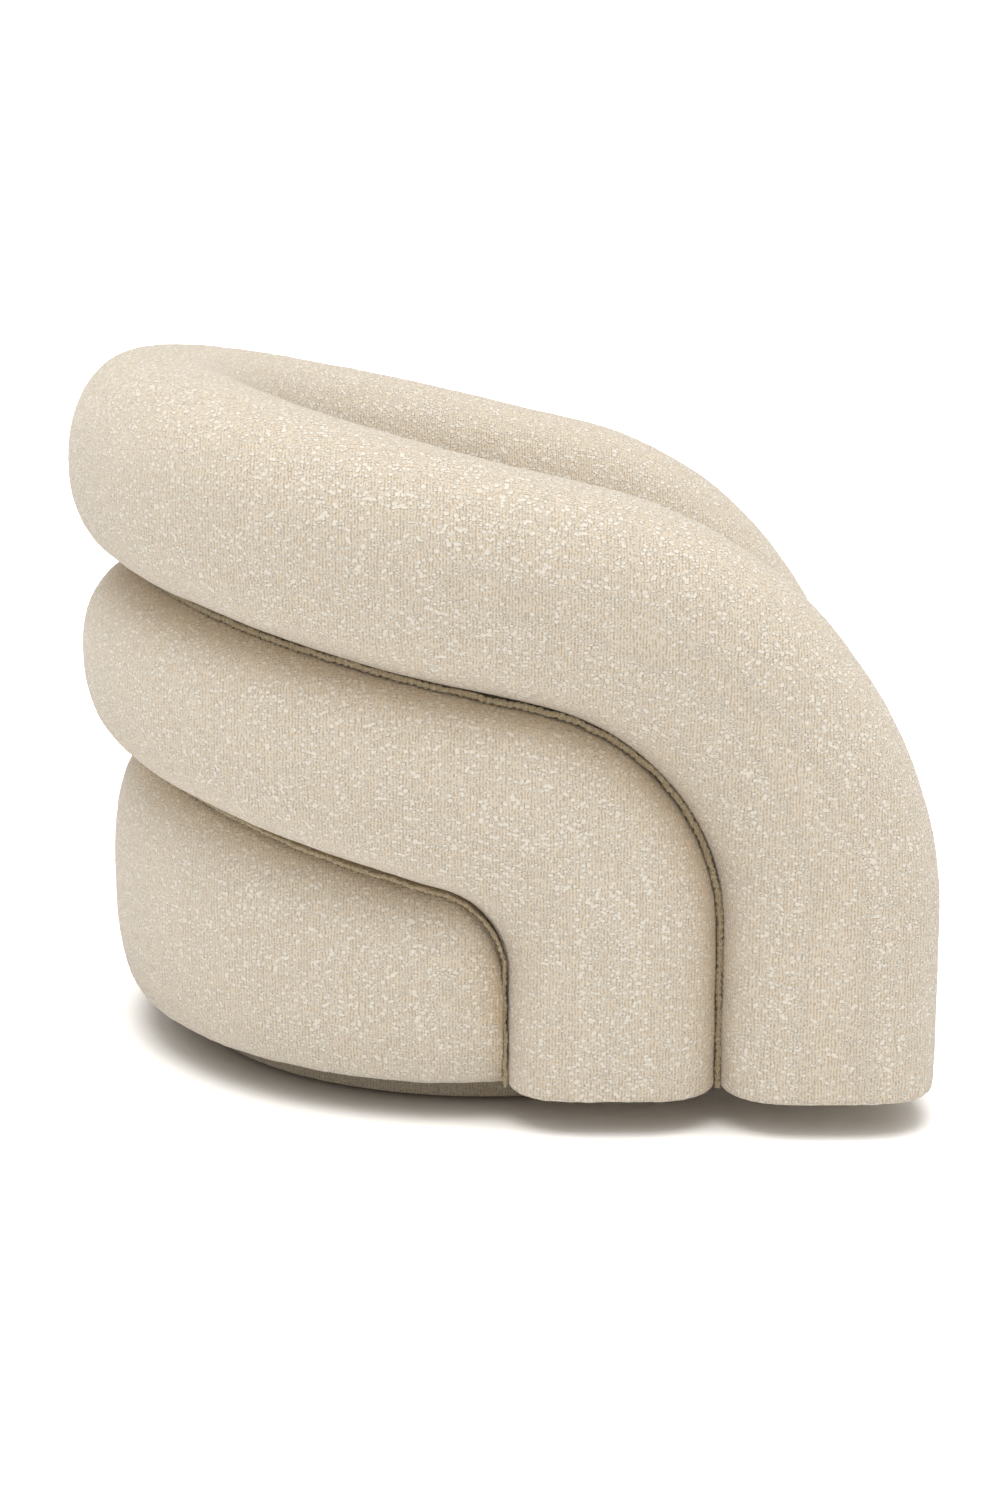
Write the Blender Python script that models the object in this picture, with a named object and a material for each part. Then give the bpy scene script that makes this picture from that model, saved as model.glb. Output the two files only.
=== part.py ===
"""Swivel tub armchair: three upholstered rolls around a plywood shell, on a round turning base.

Run with: blender --background --python part.py
Metres, +Z up. The chair faces -Y. The origin is on the floor, under the swivel's axis.
"""

import math

import bmesh
import bpy
from mathutils import Vector

# Overall size
DEPTH = 0.852
HEIGHT = 0.700
SKIRT_HEIGHT = 0.035          # gap between the floor and the lowest edge of the rolls
GAP = 0.0003                  # clearance between solids that touch

# Plan of the wall that the rolls are fixed to: straight sides and a half-round back
WALL_RADIUS = 0.375
ROLL_PROUD = 0.043            # how far a roll stands out from the wall's reference surface
ROLL_RADIUS = 0.092           # half thickness of a roll, measured square to the wall
ROLL_HALF_HEIGHT = 0.104      # half width of the top roll, measured along the wall
BACK_CENTRE_Y = DEPTH / 2 - WALL_RADIUS - ROLL_PROUD

# The two creases, seen from the side: up a leg, round an elbow and up a slope to the back
UPPER_LEG_Y = -DEPTH / 2 + 2 * ROLL_HALF_HEIGHT
UPPER_ELBOW = 0.214
UPPER_SLOPE = math.radians(12.4)
LOWER_LEG_Y = -0.018
LOWER_ELBOW = 0.080
LOWER_SLOPE = math.radians(13.3)
LOWER_CREASE_Z = 0.2105       # height of the lower slope's line above the swivel's axis
MIDDLE_ROLL_PROUD = 0.036
LOWER_ROLL_PROUD = 0.019
LOWER_ROLL_SOFT_EDGE = 0.085  # width over which the lower roll rounds off in front
UPPER_CREASE_Z = (HEIGHT - ROLL_HALF_HEIGHT - ROLL_HALF_HEIGHT / math.cos(UPPER_SLOPE)
                  - math.tan(UPPER_SLOPE) * (BACK_CENTRE_Y + WALL_RADIUS))
WELT_DEPTH = 0.024            # how far a welt lies behind the reference surface
WELT_WIDTH = 0.0075
WELT_THICKNESS = 0.002

# Axis of the top roll, and the steel hoop in its channel
AXIS_LEG_Y = UPPER_LEG_Y - ROLL_HALF_HEIGHT
AXIS_ELBOW = UPPER_ELBOW + ROLL_HALF_HEIGHT
AXIS_LINE_Z = UPPER_CREASE_Z + ROLL_HALF_HEIGHT / math.cos(UPPER_SLOPE)
HOOP_RADIUS = 0.0125
CHANNEL_RADIUS = 0.0145

# Depths behind the reference surface, from the roll's flat back inwards
ROLL_BACK = ROLL_RADIUS - ROLL_PROUD
PANEL_THICKNESS = 0.012
PANEL_OUTER = ROLL_BACK + 0.003      # the middle roll's flat back leans in a little at its elbows
PANEL_INNER = PANEL_OUTER + PANEL_THICKNESS
PANEL_BOTTOM = 0.040
PANEL_DROP = ROLL_HALF_HEIGHT + 0.006
POST_DROP = PANEL_DROP + 0.006
POST_DEPTH = 0.028
PAD_BACK = 0.097
INSIDE_HALF_WIDTH = WALL_RADIUS - ROLL_BACK - ROLL_RADIUS + 0.001
PAD_TOP_CLEARANCE = 0.004
PAD_RAKE = 0.034              # how far the back's foot comes forward of its top

# Turning base, from the floor up
GLIDE_HEIGHT = 0.004
GLIDES = 6
GLIDE_RADIUS = 0.014
GLIDE_CIRCLE = 0.285
PLINTH_RADIUS = 0.312
PLINTH_JOINT = 0.018           # height of the joint between the drum's two discs
PLINTH_TOP = 0.032
COVER_THICKNESS = 0.002
PLATE_RADIUS = 0.150
PLATE_THICKNESS = 0.003
SWIVEL_HEIGHT = 0.0174
BALL_CIRCLE = 0.105
BALLS = 12
BOLT_CIRCLE = 0.130
BOLT_RADIUS = 0.004

# Seat box and cushion
BOARD_THICKNESS = 0.018
BOARD_Z = PLINTH_TOP + GAP + SWIVEL_HEIGHT + GAP
LEG_BOARD_BOTTOM = SKIRT_HEIGHT + GAP
LEG_BOARD_TOP = BOARD_Z - GAP
BOARD_SETBACK = 0.045         # from the padded front back to the board's front edge
SPRINGS = 4
SPRING_PITCH = 0.098
RAIL_TOP = 0.210
RAIL_THICKNESS = 0.020
RAIL_X = 0.195
SEAT_FRONT_Y = -0.345
SEAT_BACK_Y = 0.205
WIRE_RADIUS = 0.002
DECK_Z = 0.2175
DECK_TOP = 0.270
CUSHION_TOP = 0.405
CUSHION_FRONT_Y = -0.360
CUSHION_BACK_Y = SEAT_BACK_Y - 0.007
CUSHION_HALF_WIDTH = 0.230

# How finely round shapes are divided
LEG_STEPS = 2
ELBOW_STEPS = 6
ARM_STEPS = 3
BACK_STEPS = 8
TUBE_SIDES = 16

# Finishes: colour, roughness, metallic
BOUCLE = ((0.74, 0.69, 0.59), 0.95, 0.0)
WELT_CLOTH = ((0.62, 0.57, 0.46), 0.95, 0.0)
FOAM = ((0.85, 0.80, 0.62), 0.9, 0.0)
PLYWOOD = ((0.62, 0.45, 0.28), 0.7, 0.0)
HARDWOOD = ((0.50, 0.33, 0.18), 0.6, 0.0)
STEEL = ((0.45, 0.45, 0.47), 0.35, 1.0)
CAMBRIC = ((0.05, 0.05, 0.05), 0.9, 0.0)
NYLON = ((0.55, 0.55, 0.53), 0.4, 0.0)


def clear_scene():
    for obj in list(bpy.data.objects):
        bpy.data.objects.remove(obj, do_unlink=True)


def finish_material(name, finish):
    colour, roughness, metallic = finish
    material = bpy.data.materials.new(name)
    material.use_nodes = True
    shader = material.node_tree.nodes["Principled BSDF"]
    shader.inputs["Base Color"].default_value = (*colour, 1.0)
    shader.inputs["Roughness"].default_value = roughness
    shader.inputs["Metallic"].default_value = metallic
    return material


def add_object(name, mesh, finish, parent=None, round_angle=40):
    mesh.shade_smooth()
    mesh.set_sharp_from_angle(angle=math.radians(round_angle))
    obj = bpy.data.objects.new(name, mesh)
    mesh.materials.append(finish_material(name, finish))
    bpy.context.scene.collection.objects.link(obj)
    if parent:
        obj.parent = parent
        obj.matrix_parent_inverse = parent.matrix_world.inverted()
    return obj


def mesh_from(bm, name):
    bmesh.ops.recalc_face_normals(bm, faces=bm.faces)
    mesh = bpy.data.meshes.new(name)
    bm.to_mesh(mesh)
    bm.free()
    return mesh


def add_empty(name, location):
    empty = bpy.data.objects.new(name, None)
    empty.location = location
    bpy.context.scene.collection.objects.link(empty)
    bpy.context.view_layer.update()
    return empty


def loft(name, rings, finish, parent=None, looped=False, round_angle=40):
    """A solid through rings of points. Its ends are capped, unless the rings run in a loop."""
    bm = bmesh.new()
    rows = [[bm.verts.new(point) for point in ring] for ring in rings]
    pairs = list(zip(rows, rows[1:] + rows[:1])) if looped else list(zip(rows, rows[1:]))
    for row, following in pairs:
        for i in range(len(row)):
            j = (i + 1) % len(row)
            bm.faces.new((row[i], row[j], following[j], following[i]))
    if not looped:
        bm.faces.new(rows[0])
        bm.faces.new(rows[-1])
    return add_object(name, mesh_from(bm, name), finish, parent, round_angle)


def prism(name, outline, low, high, finish, parent=None, holes=()):
    """A flat board: an outline in plan, from one height to another, with round holes (x, y, radius)."""
    bottom = [Vector((x, y, low)) for x, y in outline]
    top = [Vector((x, y, high)) for x, y in outline]
    board = loft(name, [bottom, top], finish, parent)
    for x, y, radius in holes:
        cut(board, cylinder_cutter(name, x, y, radius, low, high))
    return board


def box(name, low, high, finish, parent=None):
    outline = [(low[0], low[1]), (high[0], low[1]), (high[0], high[1]), (low[0], high[1])]
    return prism(name, outline, low[2], high[2], finish, parent)


def circle(radius, steps, centre=(0.0, 0.0)):
    turn = 2 * math.pi / steps
    return [(centre[0] + radius * math.cos(i * turn), centre[1] + radius * math.sin(i * turn))
            for i in range(steps)]


def turned(name, profile, finish, steps, parent=None, centre=(0.0, 0.0)):
    """A ring-shaped solid: a closed profile of (radius, height) turned round a vertical axis."""
    rings = []
    for i in range(steps):
        angle = 2 * math.pi * i / steps
        rings.append([Vector((centre[0] + r * math.cos(angle), centre[1] + r * math.sin(angle), z))
                      for r, z in profile])
    return loft(name, rings, finish, parent, looped=True)


def cylinder_cutter(name, x, y, radius, low, high):
    margin = 0.01
    sides = 12 if radius < 0.05 else 48
    rings = [[Vector((px, py, z)) for px, py in circle(radius, sides, (x, y))]
             for z in (low - margin, high + margin)]
    return as_cutter(loft(name + "_cutter", rings, STEEL))


def as_cutter(obj):
    obj.hide_render = True
    obj.display_type = "WIRE"
    return obj


def cut(target, cutter, operation="DIFFERENCE"):
    modifier = target.modifiers.new(cutter.name, "BOOLEAN")
    modifier.operation = operation
    modifier.solver = "EXACT"
    modifier.object = cutter


def bolt(name, x, y, seat, direction, length, parent):
    """A pan-head bolt. Its head lies on the seat height, and its shank runs along direction."""
    head_radius, head_height = 0.0075, 0.0036
    away = seat - direction * head_height
    heights = (away, seat, seat, seat + direction * length)
    radii = (head_radius, head_radius, BOLT_RADIUS, BOLT_RADIUS)
    rings = [[Vector((px, py, z)) for px, py in circle(r, 10, (x, y))] for r, z in zip(radii, heights)]
    return loft(name, rings, STEEL, parent)


def plan_point(run, z=0.0):
    """A point of the wall on the -X side. run is its distance along the wall past the straight side."""
    if run <= 0.0:
        return Vector((-WALL_RADIUS, BACK_CENTRE_Y + run, z))
    angle = run / WALL_RADIUS
    return Vector((-WALL_RADIUS * math.cos(angle), BACK_CENTRE_Y + WALL_RADIUS * math.sin(angle), z))


def run_at(y):
    past = y - BACK_CENTRE_Y
    return past if past <= 0.0 else WALL_RADIUS * math.asin(past / WALL_RADIUS)


def crease_arch(leg_y, elbow, slope, line_z, leg_bottom):
    """Points up the -X side of one crease and round to the middle of the back.

    Seen from the side the leg is upright, the elbow is an arc, and then the line rises with the
    slope all the way to the back. line_z is the height of the slope's line at y = 0.
    """
    centre_y = leg_y + elbow
    centre_z = line_z + math.tan(slope) * centre_y - elbow / math.cos(slope)
    points = []
    for i in range(LEG_STEPS):
        points.append(plan_point(run_at(leg_y), leg_bottom + (centre_z - leg_bottom) * i / LEG_STEPS))
    for i in range(ELBOW_STEPS + 1):
        angle = math.pi - (math.pi / 2 - slope) * i / ELBOW_STEPS
        run = run_at(centre_y + elbow * math.cos(angle))
        points.append(plan_point(run, centre_z + elbow * math.sin(angle)))
    step = math.pi / 2 * WALL_RADIUS / BACK_STEPS
    runs = [run + (step - run) * i / ARM_STEPS for i in range(1, ARM_STEPS)]
    runs += [step * i for i in range(1, BACK_STEPS + 1)]
    for run in runs:
        point = plan_point(run)
        point.z = line_z + math.tan(slope) * point.y
        points.append(point)
    return points


def outward(point):
    """The wall's outward direction in plan: sideways on the arms, radial on the round back."""
    if point.y <= BACK_CENTRE_Y:
        return Vector((math.copysign(1.0, point.x), 0.0, 0.0))
    return Vector((point.x, point.y - BACK_CENTRE_Y, 0.0)).normalized()


def mirrored(half):
    """The whole U from its -X half, whose last point is in the middle of the back."""
    return half + [Vector((-p.x, p.y, p.z)) for p in reversed(half[:-1])]


def crossways(path, i):
    """The direction across a roll, away from the arch's inside, in the wall's surface."""
    before, after = path[max(i - 1, 0)], path[min(i + 1, len(path) - 1)]
    tangent = (after - before).normalized()
    if i in (0, len(path) - 1):
        tangent = Vector((0.0, 0.0, 1.0 if i == 0 else -1.0))
    # with this order the result points forwards on the legs and upwards on the arms and back
    return outward(path[i]).cross(tangent).normalized() * -1.0


def upper_crease():
    return crease_arch(UPPER_LEG_Y, UPPER_ELBOW, UPPER_SLOPE, UPPER_CREASE_Z, SKIRT_HEIGHT)


def lower_crease():
    return crease_arch(LOWER_LEG_Y, LOWER_ELBOW, LOWER_SLOPE, LOWER_CREASE_Z, SKIRT_HEIGHT)


def tube_axis(bottom=SKIRT_HEIGHT):
    """The top roll's line, as points on the reference surface."""
    return crease_arch(AXIS_LEG_Y, AXIS_ELBOW, UPPER_SLOPE, AXIS_LINE_Z, bottom)


def height_under_roll(y, drop):
    """Height, at y on the wall, of the arch that runs a distance drop inside the top roll's axis."""
    centre_y = AXIS_LEG_Y + AXIS_ELBOW
    centre_z = AXIS_LINE_Z + math.tan(UPPER_SLOPE) * centre_y - AXIS_ELBOW / math.cos(UPPER_SLOPE)
    reach = AXIS_ELBOW - drop
    if y >= centre_y - reach * math.sin(UPPER_SLOPE):
        return AXIS_LINE_Z - drop / math.cos(UPPER_SLOPE) + math.tan(UPPER_SLOPE) * y
    return centre_z + math.sqrt(max(reach ** 2 - (y - centre_y) ** 2, 0.0))


def oval_rings(path, half_depth, half_height, depth_offset, sides):
    rings = []
    for i, point in enumerate(path):
        out, across = outward(point), crossways(path, i)
        centre = point - out * depth_offset
        ring = []
        for k in range(sides):
            angle = 2 * math.pi * k / sides
            ring.append(centre + out * half_depth * math.cos(angle)
                        + across * half_height * math.sin(angle))
        rings.append(ring)
    return rings


def make_top_roll(seat):
    """The fat roll that is leg, arm and back rail in one, with a channel for its steel hoop."""
    path = mirrored(tube_axis())
    outer = oval_rings(path, ROLL_RADIUS, ROLL_HALF_HEIGHT, ROLL_BACK, TUBE_SIDES)
    inner = oval_rings(path, CHANNEL_RADIUS, CHANNEL_RADIUS, ROLL_BACK, 6)
    roll = loft("top_roll", outer, BOUCLE, seat)
    channel = [inner[0][:], *inner, inner[-1][:]]
    for end in (0, -1):
        channel[end] = [p - Vector((0, 0, 0.02)) for p in channel[end]]
    cut(roll, as_cutter(loft("top_roll_channel", channel, STEEL)))
    for side in (-1, 1):
        socket = leg_board_outline(side, 0.0008)
        rings = [[Vector((x, y, z)) for x, y in socket]
                 for z in (SKIRT_HEIGHT - 0.01, LEG_BOARD_TOP + GAP)]
        cut(roll, as_cutter(loft(f"leg_socket_{side}", rings, STEEL)))


def leg_board_outline(side, grow=0.0):
    """An oval foot for one leg, with a straight tongue that reaches in under the base board."""
    x = side * (WALL_RADIUS - ROLL_BACK)
    half_x, half_y = 0.062 + grow, 0.066 + grow
    tongue_front, tongue_back, tongue_end = 0.020 - grow, 0.058 + grow, 0.170 - grow
    start, end = math.asin(tongue_back / half_y), math.asin(tongue_front / half_y) + 2 * math.pi
    steps = 12
    points = []
    for i in range(steps + 1):
        angle = start + (end - start) * i / steps
        points.append((x - side * half_x * math.cos(angle), AXIS_LEG_Y + half_y * math.sin(angle)))
    points += [(side * tongue_end, AXIS_LEG_Y + tongue_front), (side * tongue_end, AXIS_LEG_Y + tongue_back)]
    return points if side < 0 else points[::-1]


def make_leg_boards(seat):
    for name, side in (("leg_board_right", -1), ("leg_board_left", 1)):
        prism(name, leg_board_outline(side), LEG_BOARD_BOTTOM, LEG_BOARD_TOP, PLYWOOD, seat)


def make_top_hoop(seat):
    path = mirrored(tube_axis(LEG_BOARD_TOP + 2 * GAP))
    rings = oval_rings(path, HOOP_RADIUS, HOOP_RADIUS, ROLL_BACK, 6)
    loft("top_roll_hoop", rings, STEEL, seat)


def half_oval(upper, lower, out, proud, steps, shrink=0.001):
    """A D-shaped ring between two points of the reference surface, flat on its inner side."""
    back = -out * ROLL_BACK
    half = (upper - lower) / 2
    half = half * (1 - shrink / half.length)
    middle = (upper + lower) / 2 + back
    bulge = ROLL_BACK + proud
    ring = []
    for k in range(steps + 1):
        angle = math.pi * k / steps
        ring.append(middle + half * math.cos(angle) + out * bulge * math.sin(angle))
    return ring


def make_middle_roll(seat):
    pairs = zip(mirrored(upper_crease()), mirrored(lower_crease()))
    rings = [half_oval(upper, lower, outward(upper), MIDDLE_ROLL_PROUD, 8) for upper, lower in pairs]
    loft("middle_roll", rings, BOUCLE, seat)


def make_lower_roll(seat):
    """The low panel inside the middle arch. It rounds off towards its front edges."""
    rings = []
    for point in mirrored([p for p in lower_crease() if p.y > LOWER_LEG_Y + 0.003]):
        edge = min((point.y - LOWER_LEG_Y) / LOWER_ROLL_SOFT_EDGE, 1.0)
        swell = math.sqrt(1 - (1 - edge) ** 2)
        proud = (ROLL_BACK + LOWER_ROLL_PROUD) * swell - ROLL_BACK
        low = Vector((point.x, point.y, SKIRT_HEIGHT))
        rings.append(half_oval(point, low, outward(point), proud, 8, 0.0015))
    loft("lower_roll", rings, BOUCLE, seat)


def make_welt(name, crease, lean, seat):
    """The narrow flat strip that is sewn into a crease, leaning towards the roll on its inner side."""
    path = mirrored(crease)
    rings = []
    for i, point in enumerate(path):
        out, across = outward(point), crossways(path, i)
        front = point - out * WELT_DEPTH - across * lean
        half, back = across * WELT_WIDTH / 2, out * WELT_THICKNESS
        rings.append([front - half, front + half, front + half - back, front - half - back])
    loft(name, rings, WELT_CLOTH, seat)


def wall_outline(depth, front_y, steps=BACK_STEPS):
    """Half of a U in plan at a depth behind the reference surface, from the front to the back."""
    radius = WALL_RADIUS - depth
    points = [(-radius, front_y), (-radius, BACK_CENTRE_Y)]
    for i in range(1, steps + 1):
        angle = math.pi / 2 * i / steps
        points.append((-radius * math.cos(angle), BACK_CENTRE_Y + radius * math.sin(angle)))
    return points


def make_side_panels(seat):
    """Flat arched plywood sides, under the upper crease."""
    for name, side in (("side_panel_right", -1), ("side_panel_left", 1)):
        outline = []
        front_y = UPPER_LEG_Y + 0.007
        steps = 8
        for i in range(steps + 1):
            share = i / steps
            y = front_y + (BACK_CENTRE_Y - GAP - front_y) * share ** 2
            outline.append((y, height_under_roll(y, PANEL_DROP)))
        outline += [(BACK_CENTRE_Y - GAP, PANEL_BOTTOM), (front_y, PANEL_BOTTOM)]
        planes = (WALL_RADIUS - PANEL_OUTER, WALL_RADIUS - PANEL_INNER)
        rings = [[Vector((side * x, y, z)) for y, z in outline] for x in planes]
        loft(name, rings, PLYWOOD, seat)


def make_back_panel(seat):
    """Bent plywood round the back. Its top edge rises with the crease."""
    rings = []
    steps = 2 * BACK_STEPS
    for i in range(steps + 1):
        angle = math.pi * i / steps
        direction = Vector((-math.cos(angle), math.sin(angle), 0.0))
        outer = direction * (WALL_RADIUS - PANEL_OUTER)
        inner = direction * (WALL_RADIUS - PANEL_INNER)
        y = BACK_CENTRE_Y + WALL_RADIUS * math.sin(angle)
        top = height_under_roll(y, PANEL_DROP)
        centre = Vector((0.0, BACK_CENTRE_Y, 0.0))
        rings.append([centre + outer + Vector((0, 0, PANEL_BOTTOM)), centre + outer + Vector((0, 0, top)),
                      centre + inner + Vector((0, 0, top)), centre + inner + Vector((0, 0, PANEL_BOTTOM))])
    loft("back_panel", rings, PLYWOOD, seat)


def make_posts(seat):
    """Upright posts that stand on the base board behind the panels."""
    foot = BOARD_Z + BOARD_THICKNESS + GAP
    outer = WALL_RADIUS - PANEL_INNER - GAP
    for name, side in (("front_post_right", -1), ("front_post_left", 1)):
        low_y = UPPER_LEG_Y + 0.020
        xs = sorted((side * outer, side * (outer - POST_DEPTH)))
        top = height_under_roll(low_y, POST_DROP)
        box(name, (xs[0], low_y, foot), (xs[1], low_y + 0.030, top), HARDWOOD, seat)
    for name, degrees in (("back_post_right", 30), ("back_post_centre", 90), ("back_post_left", 150)):
        angle = math.radians(degrees)
        radial = Vector((-math.cos(angle), math.sin(angle), 0.0))
        aside = Vector((-radial.y, radial.x, 0.0)) * 0.020
        centre = Vector((0.0, BACK_CENTRE_Y, 0.0))
        top = height_under_roll(BACK_CENTRE_Y + WALL_RADIUS * radial.y, POST_DROP)
        reach = outer - 0.003
        corners = [radial * reach + aside, radial * reach - aside,
                   radial * (reach - POST_DEPTH) - aside, radial * (reach - POST_DEPTH) + aside]
        rings = [[centre + c + Vector((0, 0, z)) for c in corners] for z in (foot, top)]
        loft(name, rings, HARDWOOD, seat)


def pad_ring(foot, direction, bottom):
    """One section of the inside upholstery, from its back round its top and down its face."""
    wall_y = foot.y + WALL_RADIUS * direction.y
    ring = [(WALL_RADIUS - PAD_BACK, bottom)]
    for degrees in (258, 240, 222, 205):
        angle = math.radians(degrees)
        depth = ROLL_BACK - (ROLL_RADIUS + PAD_TOP_CLEARANCE) * math.cos(angle)
        drop = -(ROLL_HALF_HEIGHT + PAD_TOP_CLEARANCE) * math.sin(angle)
        radius = WALL_RADIUS - min(max(depth, PAD_BACK), WALL_RADIUS - INSIDE_HALF_WIDTH)
        lowest = bottom + 0.008 + 0.002 * len(ring)
        ring.append((radius, max(height_under_roll(wall_y, drop), lowest)))
    rake = PAD_RAKE * direction.y ** 2
    ring.append((INSIDE_HALF_WIDTH - 0.45 * rake, (ring[-1][1] + bottom) / 2))
    ring.append((INSIDE_HALF_WIDTH - rake, bottom))
    return [foot + direction * radius + Vector((0.0, 0.0, z)) for radius, z in ring]


def make_inner_pad(seat):
    """The inside upholstery: flush with the top roll at the arms, and raked at the back."""
    bottom = RAIL_TOP + 0.0055
    right_side = Vector((-1.0, 0.0, 0.0))
    half = [(Vector((0.0, y, 0.0)), right_side) for y in (-0.221, -0.17, -0.12, -0.06)]
    centre = Vector((0.0, BACK_CENTRE_Y, 0.0))
    for i in range(BACK_STEPS + 1):
        angle = math.pi / 2 * i / BACK_STEPS
        half.append((centre, Vector((-math.cos(angle), math.sin(angle), 0.0))))
    whole = half + [(foot, Vector((-out.x, out.y, 0.0))) for foot, out in reversed(half[:-1])]
    loft("inner_pad", [pad_ring(foot, out, bottom) for foot, out in whole], BOUCLE, seat)


def seat_outline(half_width, front_y, back_y, steps=14, front_radius=0.03):
    """A seat shape in plan: straight front and sides, and a rounded back."""
    points = []
    for corner in (-1, 1):
        arc = [math.pi / 2 * i / 3 for i in range(4)]
        for a in arc if corner < 0 else arc[::-1]:
            points.append((corner * (half_width - front_radius + front_radius * math.cos(a)),
                           front_y + front_radius - front_radius * math.sin(a)))
    depth = back_y - BACK_CENTRE_Y
    for i in range(steps + 1):
        angle = math.pi * i / steps
        points.append((half_width * math.cos(angle), BACK_CENTRE_Y + depth * math.sin(angle)))
    return points


def make_base_board(seat):
    """The plywood board that carries the shell. It is narrow in front, to pass between the legs."""
    shoulder_y = UPPER_LEG_Y + 0.010
    half = [(-0.215, SEAT_FRONT_Y + BOARD_SETBACK), (-0.215, shoulder_y)]
    half += wall_outline(PANEL_INNER + GAP, shoulder_y)
    outline = half + [(-x, y) for x, y in reversed(half[:-1])]
    holes = [(*bolt_place(i, math.pi / 4), BOLT_RADIUS + 0.0003) for i in range(4)]
    holes.append((0.0, 0.0, 0.030))
    prism("base_board", outline, BOARD_Z, BOARD_Z + BOARD_THICKNESS, PLYWOOD, seat, holes)
    inset = 0.012
    cloth = [(-0.160, SEAT_FRONT_Y + 0.05), (-0.160, shoulder_y + inset)]
    cloth += wall_outline(PANEL_INNER + inset, shoulder_y + inset)
    outline = cloth + [(-x, y) for x, y in reversed(cloth[:-1])]
    prism("dust_cover", outline, BOARD_Z - GAP - 0.001, BOARD_Z - GAP, CAMBRIC, seat,
          [(0.0, 0.0, PLATE_RADIUS + 0.002)])


def bolt_place(index, start):
    angle = start + math.pi / 2 * index
    return BOLT_CIRCLE * math.cos(angle), BOLT_CIRCLE * math.sin(angle)


def make_swivel(base, cage, seat):
    low = PLINTH_TOP + GAP
    high = low + SWIVEL_HEIGHT
    places = [bolt_place(i, 0.0) for i in range(4)]
    holes = [(x, y, BOLT_RADIUS + 0.0003) for x, y in places] + [(0.0, 0.0, 0.030)]
    disc = circle(PLATE_RADIUS, 32)
    prism("swivel_lower_plate", disc, low, low + PLATE_THICKNESS, STEEL, base, holes)
    for i, (x, y) in enumerate(places, 1):
        bolt(f"base_bolt_{i}", x, y, low + PLATE_THICKNESS + GAP, -1, 0.013, base)
    places = [bolt_place(i, math.pi / 4) for i in range(4)]
    holes = [(x, y, BOLT_RADIUS + 0.0003) for x, y in places] + [(0.0, 0.0, 0.030)]
    prism("swivel_upper_plate", disc, high - PLATE_THICKNESS, high, STEEL, seat, holes)
    for i, (x, y) in enumerate(places, 1):
        bolt(f"seat_bolt_{i}", x, y, high - PLATE_THICKNESS - GAP, 1, 0.018, seat)
    make_ball_cage(low + PLATE_THICKNESS, high - PLATE_THICKNESS, cage)


def make_ball_cage(low, high, cage):
    """The bearing: a flat steel ring that holds the balls between the two plates."""
    middle = (low + high) / 2
    half_height, half_width = 0.001, 0.010
    profile = [(BALL_CIRCLE + side * half_width, middle + rise * half_height)
               for side, rise in ((-1, -1), (1, -1), (1, 1), (-1, 1))]
    ring = turned("ball_cage", profile, STEEL, 36, cage)
    radius = (high - low) / 2 - GAP
    balls = bmesh.new()
    for i in range(BALLS):
        angle = 2 * math.pi * i / BALLS
        made = bmesh.ops.create_uvsphere(balls, u_segments=8, v_segments=5, radius=radius)
        spot = Vector((BALL_CIRCLE * math.cos(angle), BALL_CIRCLE * math.sin(angle), middle))
        bmesh.ops.translate(balls, verts=made["verts"], vec=spot)
    cut(ring, as_cutter(add_object("bearing_balls", mesh_from(balls, "bearing_balls"), STEEL)), "UNION")


def make_plinth(base):
    """The recessed round drum: two plywood discs, a cloth band and small glides."""
    board = PLINTH_RADIUS - COVER_THICKNESS - GAP
    prism("plinth_lower_disc", circle(board, 48), GLIDE_HEIGHT + GAP, PLINTH_JOINT, PLYWOOD, base)
    holes = [(*bolt_place(i, 0.0), BOLT_RADIUS + 0.0003) for i in range(4)]
    prism("plinth_upper_disc", circle(board, 48), PLINTH_JOINT + GAP, PLINTH_TOP, PLYWOOD, base, holes)
    band = [(PLINTH_RADIUS - COVER_THICKNESS, GLIDE_HEIGHT + GAP), (PLINTH_RADIUS, GLIDE_HEIGHT + GAP),
            (PLINTH_RADIUS, PLINTH_TOP), (PLINTH_RADIUS - COVER_THICKNESS, PLINTH_TOP)]
    turned("plinth_band", band, BOUCLE, 48, base)
    for i in range(GLIDES):
        angle = math.pi / 6 + 2 * math.pi / GLIDES * i
        x, y = GLIDE_CIRCLE * math.cos(angle), GLIDE_CIRCLE * math.sin(angle)
        levels = ((GLIDE_RADIUS - 0.002, 0.0), (GLIDE_RADIUS, 0.0015), (GLIDE_RADIUS, GLIDE_HEIGHT))
        rings = [[Vector((px, py, z)) for px, py in circle(r, 12, (x, y))] for r, z in levels]
        loft(f"glide_{i + 1}", rings, NYLON, base)


def make_seat_box(seat):
    """Rails on the base board, and the springs across them."""
    foot = BOARD_Z + BOARD_THICKNESS + GAP
    front, back = SEAT_FRONT_Y + BOARD_SETBACK, SEAT_BACK_Y - 0.03
    inner_x = RAIL_X - RAIL_THICKNESS
    for name, low_y in (("seat_rail_front", front), ("seat_rail_back", back - RAIL_THICKNESS)):
        box(name, (-RAIL_X, low_y, foot), (RAIL_X, low_y + RAIL_THICKNESS, RAIL_TOP), HARDWOOD, seat)
    for name, side in (("seat_rail_right", -1), ("seat_rail_left", 1)):
        xs = sorted((side * RAIL_X, side * inner_x))
        box(name, (xs[0], front + RAIL_THICKNESS + GAP, foot),
            (xs[1], back - RAIL_THICKNESS - GAP, RAIL_TOP), HARDWOOD, seat)
    for i in range(SPRINGS):
        x = (i - (SPRINGS - 1) / 2) * SPRING_PITCH
        make_spring(f"seat_spring_{i + 1}", x, front + 0.006, back - 0.006, seat)


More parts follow.
